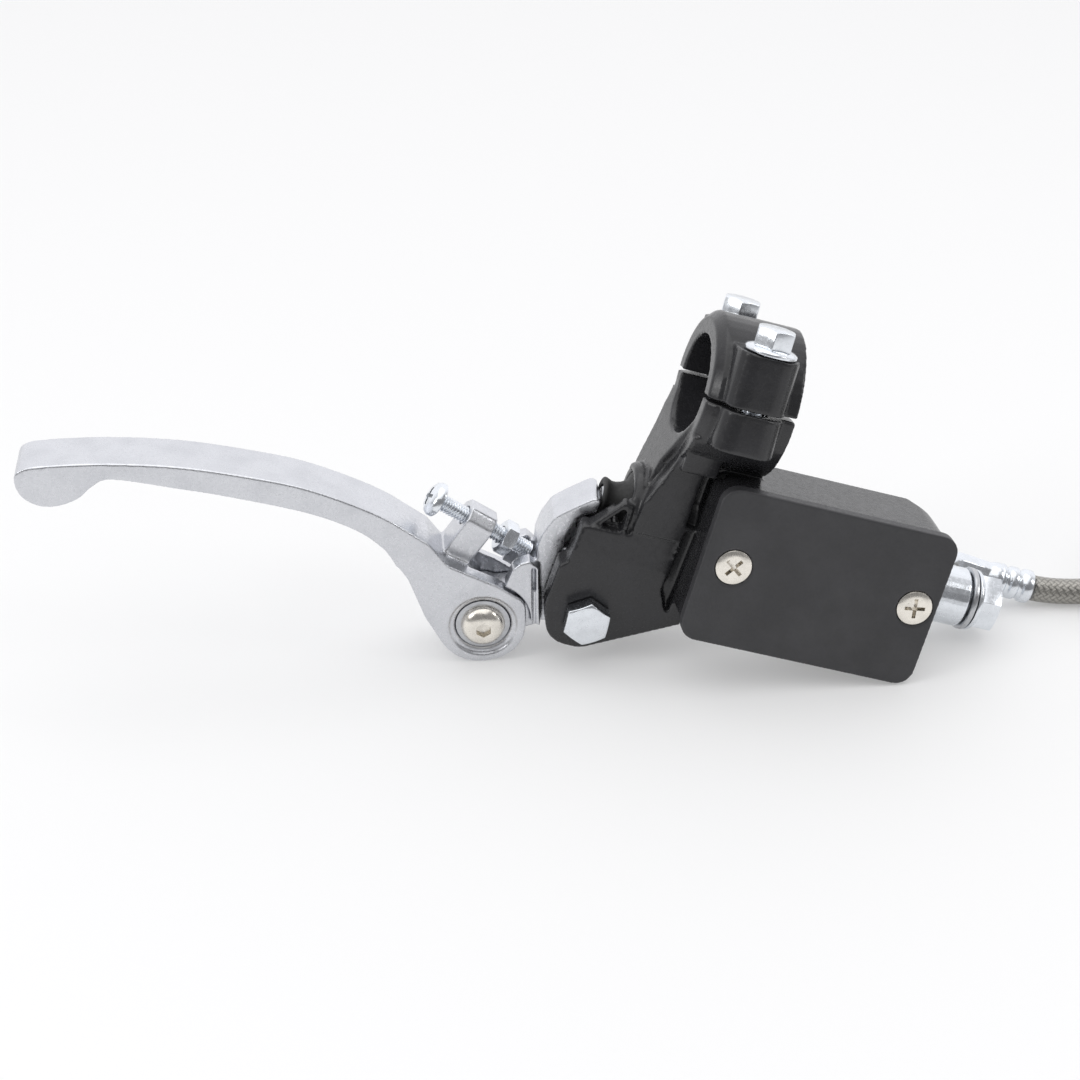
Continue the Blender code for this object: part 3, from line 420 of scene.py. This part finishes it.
def ear_plate(name, outline, front, back):
    """An outline in the bar's own directions between two depths."""
    return prism(name, outline, -back, -front, ALONG, RISE)


def arc(centre, radius, start, end, steps):
    """Points of a circle between two angles in degrees."""
    return [(centre[0] + radius * math.cos(math.radians(start + (end - start) * step / steps)),
             centre[1] + radius * math.sin(math.radians(start + (end - start) * step / steps)))
            for step in range(steps + 1)]


def rounded_path(points, steps=7):
    """A closed smooth curve through the points."""
    path = []
    count = len(points)
    for index in range(count):
        a, b, c, d = (Vector(points[(index + shift) % count]) for shift in (-1, 0, 1, 2))
        for step in range(steps):
            t = step / steps
            path.append(tuple(0.5 * (2 * b + (c - a) * t + (2 * a - 5 * b + 4 * c - d) * t * t
                                     + (3 * b - a - 3 * c + d) * t ** 3)))
    return path


def hexagon(across, turn):
    """A hexagon's corners, from its size across flats."""
    return arc((0, 0), across / math.sqrt(3), turn, turn + 300, 5)


def rod(name, place, way, start, end, radius, steps=64):
    """A plain cylinder."""
    return lathe(name, [(0, end), (radius, end), (radius, start), (0, start)], place, way, steps)


def settle(target):
    """Bake an object's modifiers into its mesh."""
    bpy.context.view_layer.update()
    graph = bpy.context.evaluated_depsgraph_get()
    mesh = bpy.data.meshes.new_from_object(target.evaluated_get(graph))
    target.modifiers.clear()
    target.data = mesh
    return target


def combine(target, operation, *tools):
    """Join, cut or intersect a solid with others, which are then gone."""
    for tool in tools:
        step = target.modifiers.new("solid", "BOOLEAN")
        step.operation = operation
        step.object = tool
        step.solver = "EXACT"
        settle(target)
        bpy.data.objects.remove(tool)
    return target


def copy_of(node, name):
    """A free copy of a CAD node's shape, welded."""
    shape = bmesh.new()
    shape.from_mesh(frame["nodes"][node].data)
    bmesh.ops.remove_doubles(shape, verts=shape.verts, dist=0.000002)
    return new_object(name, shape)


def cast(target, voxel, rounds, keep=1.0):
    """Blend a solid's parts into one skin with soft edges."""
    skin = target.modifiers.new("skin", "REMESH")
    skin.mode = "VOXEL"
    skin.voxel_size = voxel * MM
    skin.use_smooth_shade = True
    soften = target.modifiers.new("soften", "SMOOTH")
    soften.factor = 0.5
    soften.iterations = rounds
    if keep < 1:
        thin = target.modifiers.new("thin", "DECIMATE")
        thin.ratio = keep
    settle(target)
    target.data.shade_smooth()
    return target


def bevel(target, width, segments=3, degrees=30):
    """Round the sharp edges a little, and shade smoothly."""
    step = target.modifiers.new("round", "BEVEL")
    step.width = width * MM
    step.segments = segments
    step.limit_method = "ANGLE"
    step.angle_limit = math.radians(degrees)
    step.harden_normals = False
    settle(target)
    target.data.shade_smooth()
    target.data.set_sharp_from_angle(angle=math.radians(40))
    return target


def finish_piece(piece, slot, body, *nodes):
    """Give a piece its material and its body, and let it stand for CAD nodes."""
    piece.data.materials.clear()
    piece.data.materials.append(FINISHES[slot])
    for face in piece.data.polygons:
        face.material_index = 0
    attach(piece, body)
    if nodes:
        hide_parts(*nodes)
    return piece


# --- brake hose -----------------------------------------------------------------------------

HOSE_DIAMETER = 6.0
HOSE_REST = BENCH + HOSE_DIAMETER / 2 + 0.1
COIL_CENTRE = (145.0, -3.0)
OUTER_LANE, INNER_LANE = 36.2, 29.8
UPPER_LAYER = 6.2
COIL_ENTRY = 150.0
FAR_RISE = 14.1
HOSE_ROUTE = [(82.1, 4.1, -60.3), (84.6, 3.9, -60.8), (87.4, 3.6, -61.1), (90.4, 3.3, HOSE_REST),
              (93.6, 3.1, HOSE_REST), (96.8, 3.3, HOSE_REST), (100.0, 4.1, HOSE_REST),
              (103.0, 5.7, HOSE_REST), (107.6, 9.2, HOSE_REST)]
# (degrees travelled round the coil, lane radius, height over the bottom layer)
LANES = [(0, OUTER_LANE, 0), (290, OUTER_LANE, 0), (350, INNER_LANE, 0), (590, INNER_LANE, 0),
         (650, INNER_LANE, UPPER_LAYER), (880, INNER_LANE, UPPER_LAYER),
         (945, OUTER_LANE, UPPER_LAYER), (1215, OUTER_LANE, UPPER_LAYER), (1296, OUTER_LANE, FAR_RISE)]


def on_lane(travelled):
    """A point of the coil, from how far round it the hose has gone."""
    for (start, lane, height), (end, next_lane, next_height) in zip(LANES, LANES[1:]):
        if travelled <= end:
            break
    share = (travelled - start) / (end - start)
    ease = share * share * (3 - 2 * share)
    radius = lane + (next_lane - lane) * ease
    angle = math.radians(COIL_ENTRY - travelled)
    return Vector((COIL_CENTRE[0] + radius * math.cos(angle), COIL_CENTRE[1] + radius * math.sin(angle),
                   HOSE_REST + height + (next_height - height) * ease))


def smooth_route(route, spacing):
    """Evenly spaced points on a smooth curve through a route's own points."""
    route = [Vector(point) for point in route]
    ends = [route[0] * 2 - route[1]] + route + [route[-1] * 2 - route[-2]]
    dense = []
    for before, start, end, after in zip(ends, ends[1:], ends[2:], ends[3:]):
        for step in range(16):
            t = step / 16
            dense.append(0.5 * (2 * start + (end - before) * t
                                + (2 * before - 5 * start + 4 * end - after) * t ** 2
                                + (3 * start - before - 3 * end + after) * t ** 3))
    dense.append(route[-1])
    lengths = [0.0]
    for first, second in zip(dense, dense[1:]):
        lengths.append(lengths[-1] + (second - first).length)
    count = max(2, round(lengths[-1] / spacing))
    points = []
    place = 0
    for step in range(count + 1):
        target = lengths[-1] * step / count
        while place < len(lengths) - 2 and lengths[place + 1] < target:
            place += 1
        share = (target - lengths[place]) / (lengths[place + 1] - lengths[place])
        points.append(dense[place].lerp(dense[place + 1], min(1.0, share)))
    return points


def swept(name, points, radius, sides=24):
    """A round tube through points in mm, with its length and turn as UV in mm and turns."""
    shape = bmesh.new()
    uv = shape.loops.layers.uv.new("along")
    rings, spoke = [], None
    for index, point in enumerate(points):
        way = (points[min(index + 1, len(points) - 1)] - points[max(index - 1, 0)]).normalized()
        spoke = way.orthogonal() if spoke is None else spoke
        spoke = (spoke - way * spoke.dot(way)).normalized()
        across = way.cross(spoke)
        rings.append([shape.verts.new(world(point + (spoke * math.cos(2 * math.pi * side / sides)
                                                     + across * math.sin(2 * math.pi * side / sides))
                                            * radius)) for side in range(sides)])
    run = 0.0
    for index, (first, second) in enumerate(zip(rings, rings[1:])):
        step = (points[index + 1] - points[index]).length
        for side in range(sides):
            after = (side + 1) % sides
            face = shape.faces.new((first[side], first[after], second[after], second[side]))
            face.smooth = True
            for loop, (u, v) in zip(face.loops, ((run, side), (run, side + 1), (run + step, side + 1),
                                                 (run + step, side))):
                loop[uv].uv = (u, v / sides)
        run += step
    shape.faces.new(rings[0][::-1])
    shape.faces.new(rings[-1])
    return new_object(name, shape)


def braid_finish():
    """Woven stainless strands under a thin clear cover."""
    finish = Finish("braid", (0.36, 0.345, 0.315), 0.36, 0.75, Coat_Weight=0.35, Coat_Roughness=0.15)
    tree = finish.tree
    uv = tree.nodes.new("ShaderNodeUVMap")
    uv.uv_map = "along"
    split = tree.nodes.new("ShaderNodeSeparateXYZ")
    tree.links.new(uv.outputs[0], split.inputs[0])

    def math_node(operation, first, second=None, third=None):
        node = tree.nodes.new("ShaderNodeMath")
        node.operation = operation
        for socket, value in zip(node.inputs, (first, second, third)):
            if value is None:
                continue
            if isinstance(value, (int, float)):
                socket.default_value = value
            else:
                tree.links.new(value, socket)
        return node.outputs[0]

    # two families of strands, one each way round; 12 bundles round the hose
    turns = math_node("MULTIPLY", split.outputs["Y"], 12.0)
    pitch = math_node("MULTIPLY", split.outputs["X"], 0.62)
    left = math_node("ADD", turns, pitch)
    right = math_node("SUBTRACT", turns, pitch)
    crown_left = math_node("ABSOLUTE", math_node("SINE", math_node("MULTIPLY", left, math.pi)))
    crown_right = math_node("ABSOLUTE", math_node("SINE", math_node("MULTIPLY", right, math.pi)))
    parity = math_node("FLOORED_MODULO", math_node("ADD", math_node("FLOOR", left),
                                                   math_node("FLOOR", right)), 2.0)
    wires = tree.nodes.new("ShaderNodeMix")
    wires.data_type = "FLOAT"
    tree.links.new(parity, wires.inputs["Factor"])
    tree.links.new(crown_left, wires.inputs["A"])
    tree.links.new(crown_right, wires.inputs["B"])
    height = wires.outputs["Result"]
    # painted shade: the valleys between the strands are tinted darker, as shade falls between the wires
    finish.tint(finish.ramp(height, 0.15, 0.9, (1, 1, 1), (0, 0, 0)), (0.12, 0.115, 0.105), 0.8)
    finish.tint(finish.noise(3.0, 3), (0.45, 0.44, 0.41), 0.35)
    finish.rough_from(finish.noise(0.6, 3), 0.28, 0.42)
    finish.bump(height, 0.12, 0.9)
    return finish.done()


FINISHES["braid"] = braid_finish()


def make_hose():
    """The whole hose as one cord, with the fitting at its far end."""
    middle = Vector((COIL_CENTRE[0], COIL_CENTRE[1], HOSE_REST))
    turns = [on_lane(travelled) for travelled in range(10, 1260, 12)]
    ending = [middle + Vector(place) for place in ((27.2, -23.6, 12.2), (21.8, -29.6, 13.5),
                                                   (17.8, -32.4, 14.0), (14.6, -33.0, FAR_RISE))]
    points = smooth_route(HOSE_ROUTE + turns + ending, 1.5)
    hose = swept("braided_hose", points, HOSE_DIAMETER / 2)
    finish_piece(hose, "braid", "master_cylinder", "brake_hose", "brake_hose_coil")
    for node, name, extra in (("far_banjo_fitting", "far_banjo", []), ("hose_banjo_fitting", "banjo", [
            ((73.2, 4.7, -57.6), 3.9)])):
        fitting = copy_of(node, name)
        for place, radius in extra:
            ball = [(radius * math.sin(math.pi * step / 12), radius * math.cos(math.pi * step / 12))
                    for step in range(13)]
            ball[0], ball[-1] = (0, radius), (0, -radius)
            combine(fitting, "UNION", lathe("elbow", ball, place, X_AXIS, 32))
        cast(fitting, 0.18, 5)
        finish_piece(fitting, "zinc_steel", "master_cylinder", node)
    far_start = middle + Vector((14.4, -33.0, FAR_RISE))
    near_start = Vector((73.2, 4.7, -57.6))
    near_way = (Vector(HOSE_ROUTE[0]) - near_start).normalized()
    collar = [(0, 8.6), (3.3, 8.6), (3.9, 8.1), (4.0, 7.2), (3.9, 6.2), (3.45, 5.7), (3.4, 4.9),
              (3.8, 4.5), (3.85, 3.6), (3.8, 2.9), (3.4, 2.5), (3.4, 1.7), (3.9, 1.3), (3.9, 0.5),
              (3.5, 0.0), (0, 0.0)]
    for name, node, place, way in (
            ("far_ferrule", "far_hose_ferrule", far_start, -X_AXIS),
            ("near_ferrule", "hose_ferrule", near_start + near_way * 0.3, near_way)):
        ferrule = bevel(lathe(name, collar, place, way), 0.12, 2, 25)
        finish_piece(ferrule, "zinc_steel", "master_cylinder", node)


make_hose()

# --- black castings -------------------------------------------------------------------------

def on_bar(along, up, out):
    """A place from the lid's directions."""
    return ALONG * along + LID_UP * up + LID_OUT * out


BORE_START = on_bar(0, BORE_UP, BORE_OUT)
OUTLET_START = on_bar(0, OUTLET_UP, OUTLET_OUT)


def make_body():
    """The body casting: CAD solid with a neck, flare, collar and pocket, cut and blended."""
    body = copy_of("master_cylinder_body", "body_casting")
    neck = prism("neck", [(0.4, -14.0), (6.9, -16.0), (6.9, -38.5), (-1.0, -38.5), (-4.2, -34.0),
                          (-3.9, -27.0), (-1.2, -20.0)], -5.0, 9.0, ALONG, LID_UP)
    front = prism("neck_front", [(-10.0, -5.5), (-10.0, 9.2), (-18.0, 8.2), (-30.0, 7.4), (-39.0, 5.4),
                                 (-39.0, -5.5)], -6.0, 8.0, LID_UP, LID_OUT)
    combine(neck, "INTERSECT", front)
    flare = prism("flare", [(0.6, -3.0), (0.6, -34.0), (-4.2, -34.0), (-4.0, -27.0), (-2.8, -20.0),
                            (-1.3, -12.0), (-0.2, -6.0)], -14.0, 14.0, ALONG, LID_UP)
    arm_depth = prism("arm_depth", [(-36, -10.5), (-24, -12.6), (-15, -13.0), (-2, -15.8),
                                    (-4, 12.0), (-9, 9.0), (-18, 3.4), (-36, 2.8)],
                      -8.0, 4.0, LID_UP, LID_OUT)
    combine(flare, "INTERSECT", arm_depth)
    combine(flare, "DIFFERENCE", rod("bar_way", (0, 0, 0), ALONG, -20, 20, BAR_CLEARANCE_RADIUS))
    shoulder = prism("shoulder", [(-17.3, 3.0), (-17.0, 10.6), (-9.0, 12.4), (-9.0, 3.0)], 0.8, 9.0,
                     LID_UP, LID_OUT)
    collar = lathe("collar", [(0, -2.6), (8.4, -2.6), (9.0, -3.4), (9.1, -4.6), (8.5, -5.6),
                              (7.6, -6.0), (0, -6.0)], BORE_START, ALONG)
    back_wall = ear_plate("pocket_wall", [(-14.9, -36.4), (-7.4, -27.2), (-4.0, -27.2), (-4.0, -36.4)],
                          -8.6, -7.0)
    ridge = ear_plate("pocket_ridge", [(-14.9, -36.6), (-7.6, -27.2), (-5.4, -27.6), (-5.6, -29.2),
                                       (-7.4, -28.9), (-13.2, -36.6)], -10.8, -7.0)
    rib = prism("pocket_rib", [(-27.6, 6.0), (-27.8, 10.8), (-35.0, 12.9), (-35.0, 6.0)], -6.6, -5.5,
                RISE, -Y_AXIS)
    combine(body, "UNION", neck, flare, shoulder, collar, back_wall, ridge, rib)
    slope = prism("ear_slope", [(-33.0, -11.4), (-41.2, -13.05), (-33.0, -15.0)], -7.0, 18.5, RISE,
                  Y_AXIS)
    groove = ear_plate("ear_groove", [(7.2, -30.0), (9.9, -30.0), (9.9, -51.0), (8.6, -50.0),
                                      (6.6, -45.5), (6.9, -41.5)], -16.0, -10.4)
    back_corner = ear_plate("back_corner", [(-20.0, -38.6), (-9.0, -38.6), (-5.0, -33.0), (-5.0, -20.0),
                                            (-20.0, -20.0)], 2.8, 12.0)
    ring_edge = lathe("ring_edge", RING_EDGE, (0, 0, 0), ALONG, 96)
    near_side = prism("near_side", [(-9, 0), (0, -30), (30, -30), (30, 30), (-9, 30)],
                      -5, 25, CLAMP_UP, CLAMP_OUT)
    combine(ring_edge, "INTERSECT", near_side)
    slot = arc((-7.7, -56.4), 13.0, -100, 60, 12) + [(-3.0, -39.8), (-6.4, -39.8), (-6.4, -20),
                                                      (-25, -20), (-25, -70)]
    mouth = rod("mouth", BORE_START, ALONG, -9, -0.8, MOUTH_RADIUS)
    bore = rod("bore", BORE_START, ALONG, -9, 54, BORE_RADIUS)
    combine(body, "DIFFERENCE", slope, groove, back_corner, ring_edge,
            ear_plate("slot", slot, *EAR_SLOT), mouth, bore)
    cast(body, 0.36, 7, 0.4)
    finish_piece(body, "black_casting", "master_cylinder", "master_cylinder_body")


def make_cap():
    """The clamp's upper half."""
    cap = copy_of("clamp_cap", "cap_casting")
    combine(cap, "DIFFERENCE", lathe("ring_edge", RING_EDGE, (0, 0, 0), ALONG, 96))
    cast(cap, 0.3, 10, 0.5)
    finish_piece(cap, "black_casting", "master_cylinder", "clamp_cap")


def make_lid():
    """The flat lid with softened edges."""
    lid = copy_of("reservoir_lid", "lid_plate")
    cast(lid, 0.3, 3, 0.35)
    finish_piece(lid, "black_lid", "master_cylinder", "reservoir_lid")


# --- bright castings ------------------------------------------------------------------------

def make_lever():
    """Lever base and folding blade."""
    base = copy_of("lever_base", "base_casting")
    combine(base, "UNION", side_plate("groove_floor", [(-36.0, -55.7), (-34.1, -55.6), (-34.2, -47.0),
                                                       (-36.0, -46.5)], -8.9, -6.4))
    cast(base, 0.27, 6, 0.5)
    finish_piece(base, "cast_aluminium", "lever", "lever_base")
    blade = copy_of("lever_blade", "blade_casting")
    curve = side_plate("smooth_curve", rounded_path(
        [(-60.0, -31.6), (-66.4, -26.5), (-74.0, -22.0), (-85.2, -16.9), (-96.6, -13.6),
         (-111.6, -10.4), (-127.0, -8.9), (-140.0, -8.9), (-145.3, -9.7), (-146.9, -12.2),
         (-145.7, -16.2), (-142.2, -18.7), (-138.0, -18.9), (-133.6, -17.2), (-130.5, -14.5),
         (-126.0, -12.9), (-112.0, -15.9), (-101.5, -18.4), (-84.9, -23.3), (-74.3, -28.4),
         (-68.2, -33.9), (-64.6, -39.5)]), BLADE_FRONT, BLADE_BACK)
    far_part = [(-68, 20), (-68, -60), (-160, -60), (-160, 20)]
    near_part = [(-66, 20), (-66, -60), (-40, -60), (-40, 20)]
    combine(blade, "DIFFERENCE", side_plate("far_part", far_part, -20, 20))
    combine(curve, "DIFFERENCE", side_plate("near_part", near_part, -20, 20))
    combine(blade, "UNION", curve)
    step = lathe("knuckle_step", [(6.2, -9.6), (7.7, -9.6), (7.7, -12), (6.2, -12)],
                 (FOLD.x, 0, FOLD.z), Y_AXIS)
    combine(blade, "DIFFERENCE", step)
    cast(blade, 0.29, 14, 0.5)
    finish_piece(blade, "cast_aluminium", "blade", "lever_blade")


# --- screws, bolts and nuts -----------------------------------------------------------------

def thread(name, place, way, start, end, radius, pitch, steps=32):
    """A threaded rod: rings of points that follow a helical ridge."""
    way = Vector(way).normalized()
    side = way.orthogonal().normalized()
    across = way.cross(side)
    depth = pitch * 0.55
    per_pitch = 8
    count = int((end - start) / pitch * per_pitch)
    shape = bmesh.new()
    rings = []
    for index in range(count + 1):
        along = start + (end - start) * index / count
        fade = min(1.0, (along - start) / pitch + 0.2, (end - along) / pitch + 0.1)
        ring = []
        for step in range(steps):
            phase = (along / pitch - step / steps) % 1.0
            ridge = abs(phase * 2 - 1)
            reach = radius - depth * (1 - min(1.0, ridge * 1.25)) - 0.35 * (1 - fade)
            angle = 2 * math.pi * step / steps
            spoke = side * math.cos(angle) + across * math.sin(angle)
            ring.append(shape.verts.new(world(Vector(place) + way * along + spoke * reach)))
        rings.append(ring)
    for first, second in zip(rings, rings[1:]):
        for step in range(steps):
            after = (step + 1) % steps
            shape.faces.new((first[step], first[after], second[after], second[step]))
    shape.faces.new(rings[0])
    shape.faces.new(rings[-1])
    made = new_object(name, shape)
    made.data.shade_smooth()
    return made


def hex_head(name, across, low, high, place, way, side, turn=0.0, both=False):
    """A hexagon whose corners are cut by a cone at its top."""
    way, side = Vector(way), Vector(side)
    head = prism(name, hexagon(across, turn), low, high, side, way.cross(side), place)
    reach = across / math.sqrt(3) + 0.2
    cone = [(0, high), (across * 0.475, high), (reach, high - 0.55)]
    cone += [(reach, low + 0.55), (across * 0.475, low)] if both else [(reach, low)]
    combine(head, "INTERSECT", lathe("cone", cone + [(0, low)], place, way))
    return head


def cross_recess(target, place, way, side, turn, size, depth):
    """Cut a cross slot with sloping ends into a screw head."""
    way, side = Vector(way), Vector(side)
    for quarter in (0, 90):
        angle = math.radians(turn + quarter)
        first = side * math.cos(angle) + way.cross(side) * math.sin(angle)
        second = way
        outline = [(-size, 0.5), (size, 0.5), (size, 0.0), (size * 0.5, -depth), (-size * 0.5, -depth),
                   (-size, 0.0)]
        combine(target, "DIFFERENCE", prism("blade", outline, -0.42, 0.42, first, second, place))


def join_pieces(target, *others):
    """Merge other meshes into one object."""
    shape = bmesh.new()
    shape.from_mesh(target.data)
    for other in others:
        shape.from_mesh(other.data)
        bpy.data.objects.remove(other)
    shape.to_mesh(target.data)
    shape.free()
    target.data.shade_smooth()
    target.data.set_sharp_from_angle(angle=math.radians(35))
    return target


def make_clamp_bolts():
    """Flanged hexagon bolts of the clamp."""
    for name, side in (("near", 1), ("far", -1)):
        seat = (ALONG * CLAMP_BOLT_ALONG + CLAMP_UP * CLAMP_BOLT_SEAT
                + CLAMP_OUT * CLAMP_BOLT_OUT * side)
        head = hex_head(f"clamp_bolt_{name}_head", 8.0, 1.0, 5.5, seat, CLAMP_UP, ALONG, 15)
        bevel(head, 0.18, 2)
        flange = bevel(lathe("flange", [(0, 1.6), (4.2, 1.5), (5.3, 1.1), (5.8, 0.7), (5.8, 0.05),
                                        (0, 0.05)], seat, CLAMP_UP), 0.12, 2)
        shank = thread("shank", seat, CLAMP_UP, -19.8, 0.2, 2.8, 1.0)
        join_pieces(head, flange, shank)
        finish_piece(head, "zinc_steel", "master_cylinder", f"clamp_bolt_{name}")


def make_lid_screws():
    """Countersunk cross-recess screws of the lid."""
    for index, along in enumerate(LID_SCREWS_ALONG):
        place = on_bar(along, LID_SCREW_UP, LID_FACE)
        head = lathe(f"lid_screw_{index + 1}_head", [(0, 0.12), (2.5, 0.1), (3.7, 0.0), (4.0, -0.2),
                                                     (4.0, -0.45), (1.9, -2.5), (0, -2.5)],
                     place, LID_OUT)
        cross_recess(head, place, LID_OUT, ALONG, 55 - 45 * index, 2.3, 1.7)
        shank = thread("shank", place, LID_OUT, -11.6, -2.3, 1.8, 0.7, 24)
        join_pieces(head, shank)
        finish_piece(head, "nickel_steel", "master_cylinder", f"lid_screw_{index + 1}")


def make_adjuster():
    """Pan head screw and lock nut."""
    place = ADJUSTER_HEAD
    head = lathe("adjuster_screw_head", [(0, 2.5), (3.7, 2.5), (4.0, 2.2), (4.0, 1.3), (3.6, 0.6),
                                         (2.8, 0.1), (1.6, -0.25), (0, -0.35)], place, ADJUSTER_WAY)
    cross_recess(head, place + ADJUSTER_WAY * 0.1, -ADJUSTER_WAY, Y_AXIS, 30, 2.1, 1.5)
    shank = thread("shank", place, ADJUSTER_WAY, 2.4, 26.7, 1.95, 0.7)
    join_pieces(head, shank)
    finish_piece(head, "zinc_steel", "adjuster", "adjuster_screw")
    nut = hex_head("adjuster_lock_nut", 7.0, 18.8, 22.0, place, ADJUSTER_WAY, Y_AXIS, 0, True)
    combine(nut, "DIFFERENCE", rod("nut_hole", place, ADJUSTER_WAY, 15, 25, 2.15))
    bevel(nut, 0.1, 2)
    finish_piece(nut, "zinc_steel", "blade", "adjuster_nut")


def make_pivot():
    """Pivot bolt and its nut."""
    place = Vector((PIVOT.x, 0, PIVOT.z))
    head = hex_head("pivot_bolt_head", 9.6, 13.35, 16.7, place, -Y_AXIS, X_AXIS, -42)
    bevel(head, 0.2, 3)
    shank = rod("shank", place, Y_AXIS, -13.5, 9.2, 2.9)
    tip = thread("tip", place, Y_AXIS, 9.2, 16.0, 2.85, 1.0)
    join_pieces(head, shank, tip)
    finish_piece(head, "zinc_steel", "master_cylinder", "lever_pivot_bolt")
    nut = hex_head("pivot_nut", 10.0, 9.6, 14.6, place, Y_AXIS, X_AXIS, 10, True)
    combine(nut, "DIFFERENCE", rod("nut_hole", place, Y_AXIS, 5, 20, 3.05))
    bevel(nut, 0.12, 2)
    finish_piece(nut, "zinc_steel", "master_cylinder", "pivot_lock_nut")


def make_fold_screw():
    """Button head socket screw, its washer and its nut."""
    place = Vector((FOLD.x, 0, FOLD.z))
    seat = FOLD_SEAT
    head = lathe("fold_screw_head", [(0, seat - 0.4), (4.75, seat - 0.4), (4.95, seat - 0.7),
                                     (4.95, seat - 1.2), (4.6, seat - 2.0), (3.9, seat - 2.7),
                                     (3.0, seat - 3.15), (1.8, seat - 3.4), (0, seat - 3.45)],
                 place, Y_AXIS)
    socket = [(a + FOLD.x, b + FOLD.z) for a, b in hexagon(3.2, 30)]
    combine(head, "DIFFERENCE", side_plate("socket", socket, -20, seat - 1.6))
    bevel(head, 0.12, 2, 40)
    shank = rod("shank", place, Y_AXIS, seat - 0.5, 10.4, 2.4)
    join_pieces(head, shank)
    finish_piece(head, "nickel_steel", "blade", "fold_screw")
    washer = lathe("fold_spring_washer", [(2.8, seat - 0.3), (6.1, seat - 0.3), (6.1, seat - 0.6),
                                          (2.8, seat - 0.6)], place, Y_AXIS)
    bevel(washer, 0.08, 2)
    finish_piece(washer, "machined_steel", "blade", "fold_washer")
    nut = hex_head("fold_nut", 8.0, 5.3, 9.7, place, Y_AXIS, X_AXIS, 20, True)
    combine(nut, "DIFFERENCE", rod("nut_hole", place, Y_AXIS, 2, 12, 2.6))
    bevel(nut, 0.12, 2)
    finish_piece(nut, "zinc_steel", "blade", "fold_lock_nut")


# --- outlet and boot ------------------------------------------------------------------------

def make_outlet():
    """Crush washers and the banjo bolt's flanged head."""
    for side, start in zip(("inner", "outer"), WASHER_STARTS):
        end = start + WASHER_THICKNESS
        washer = lathe(f"{side}_washer", [(5.2, end), (7.2, end), (7.2, start), (5.2, start)],
                       OUTLET_START, ALONG)
        bevel(washer, 0.2, 2)
        finish_piece(washer, "machined_steel", "master_cylinder", f"{side}_crush_washer")
    first = BANJO_HEAD_START
    head = hex_head("banjo_bolt_head", 12.0, first + 1.0, first + 5.9, OUTLET_START, ALONG, LID_UP, 10)
    bevel(head, 0.25, 3)
    flange = bevel(lathe("flange", [(0, first + 1.6), (5.6, first + 1.6), (6.8, first + 1.1),
                                    (7.0, first + 0.7), (7.0, first + 0.05), (0, first + 0.05)],
                         OUTLET_START, ALONG), 0.15, 2)
    shank = lathe("shank", [(0, first + 0.2), (4.6, first + 0.2), (4.6, 56.0), (3.8, 55.2), (0, 55.2)],
                  OUTLET_START, ALONG)
    join_pieces(head, flange, shank)
    finish_piece(head, "zinc_steel", "master_cylinder", "banjo_bolt")


def squash_with_piston(piece):
    """Give a spring or boot a mesh of its own, not flattened by the piston's travel."""
    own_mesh(piece)


def make_spring():
    """The return spring, which the piston presses."""
    spring = copy_of("return_spring", "coil_spring")
    finish_piece(spring, "machined_steel", "master_cylinder", "return_spring")
    squash_with_piston(spring)


def make_boot():
    """The rubber boot with a soft lip round the piston rod."""
    boot = lathe("piston_boot", [(4.0, -3.8), (6.6, -3.8), (6.6, -5.0), (5.4, -5.4), (4.4, -6.1),
                                 (3.75, -7.4), (3.45, -8.6), (3.5, -9.6), (3.8, -10.3), (4.05, -10.8),
                                 (4.0, -11.3), (3.5, -11.5), (2.3, -11.4), (2.4, -8.0), (2.9, -6.8),
                                 (4.0, -4.8)], BORE_START, ALONG)
    bevel(boot, 0.15, 2, 25)
    finish_piece(boot, "rubber", "master_cylinder", "dust_boot")
    squash_with_piston(boot)


make_body()
make_cap()
make_lid()
make_lever()
make_clamp_bolts()
make_lid_screws()
make_adjuster()
make_pivot()
make_fold_screw()
make_outlet()
make_boot()
make_spring()
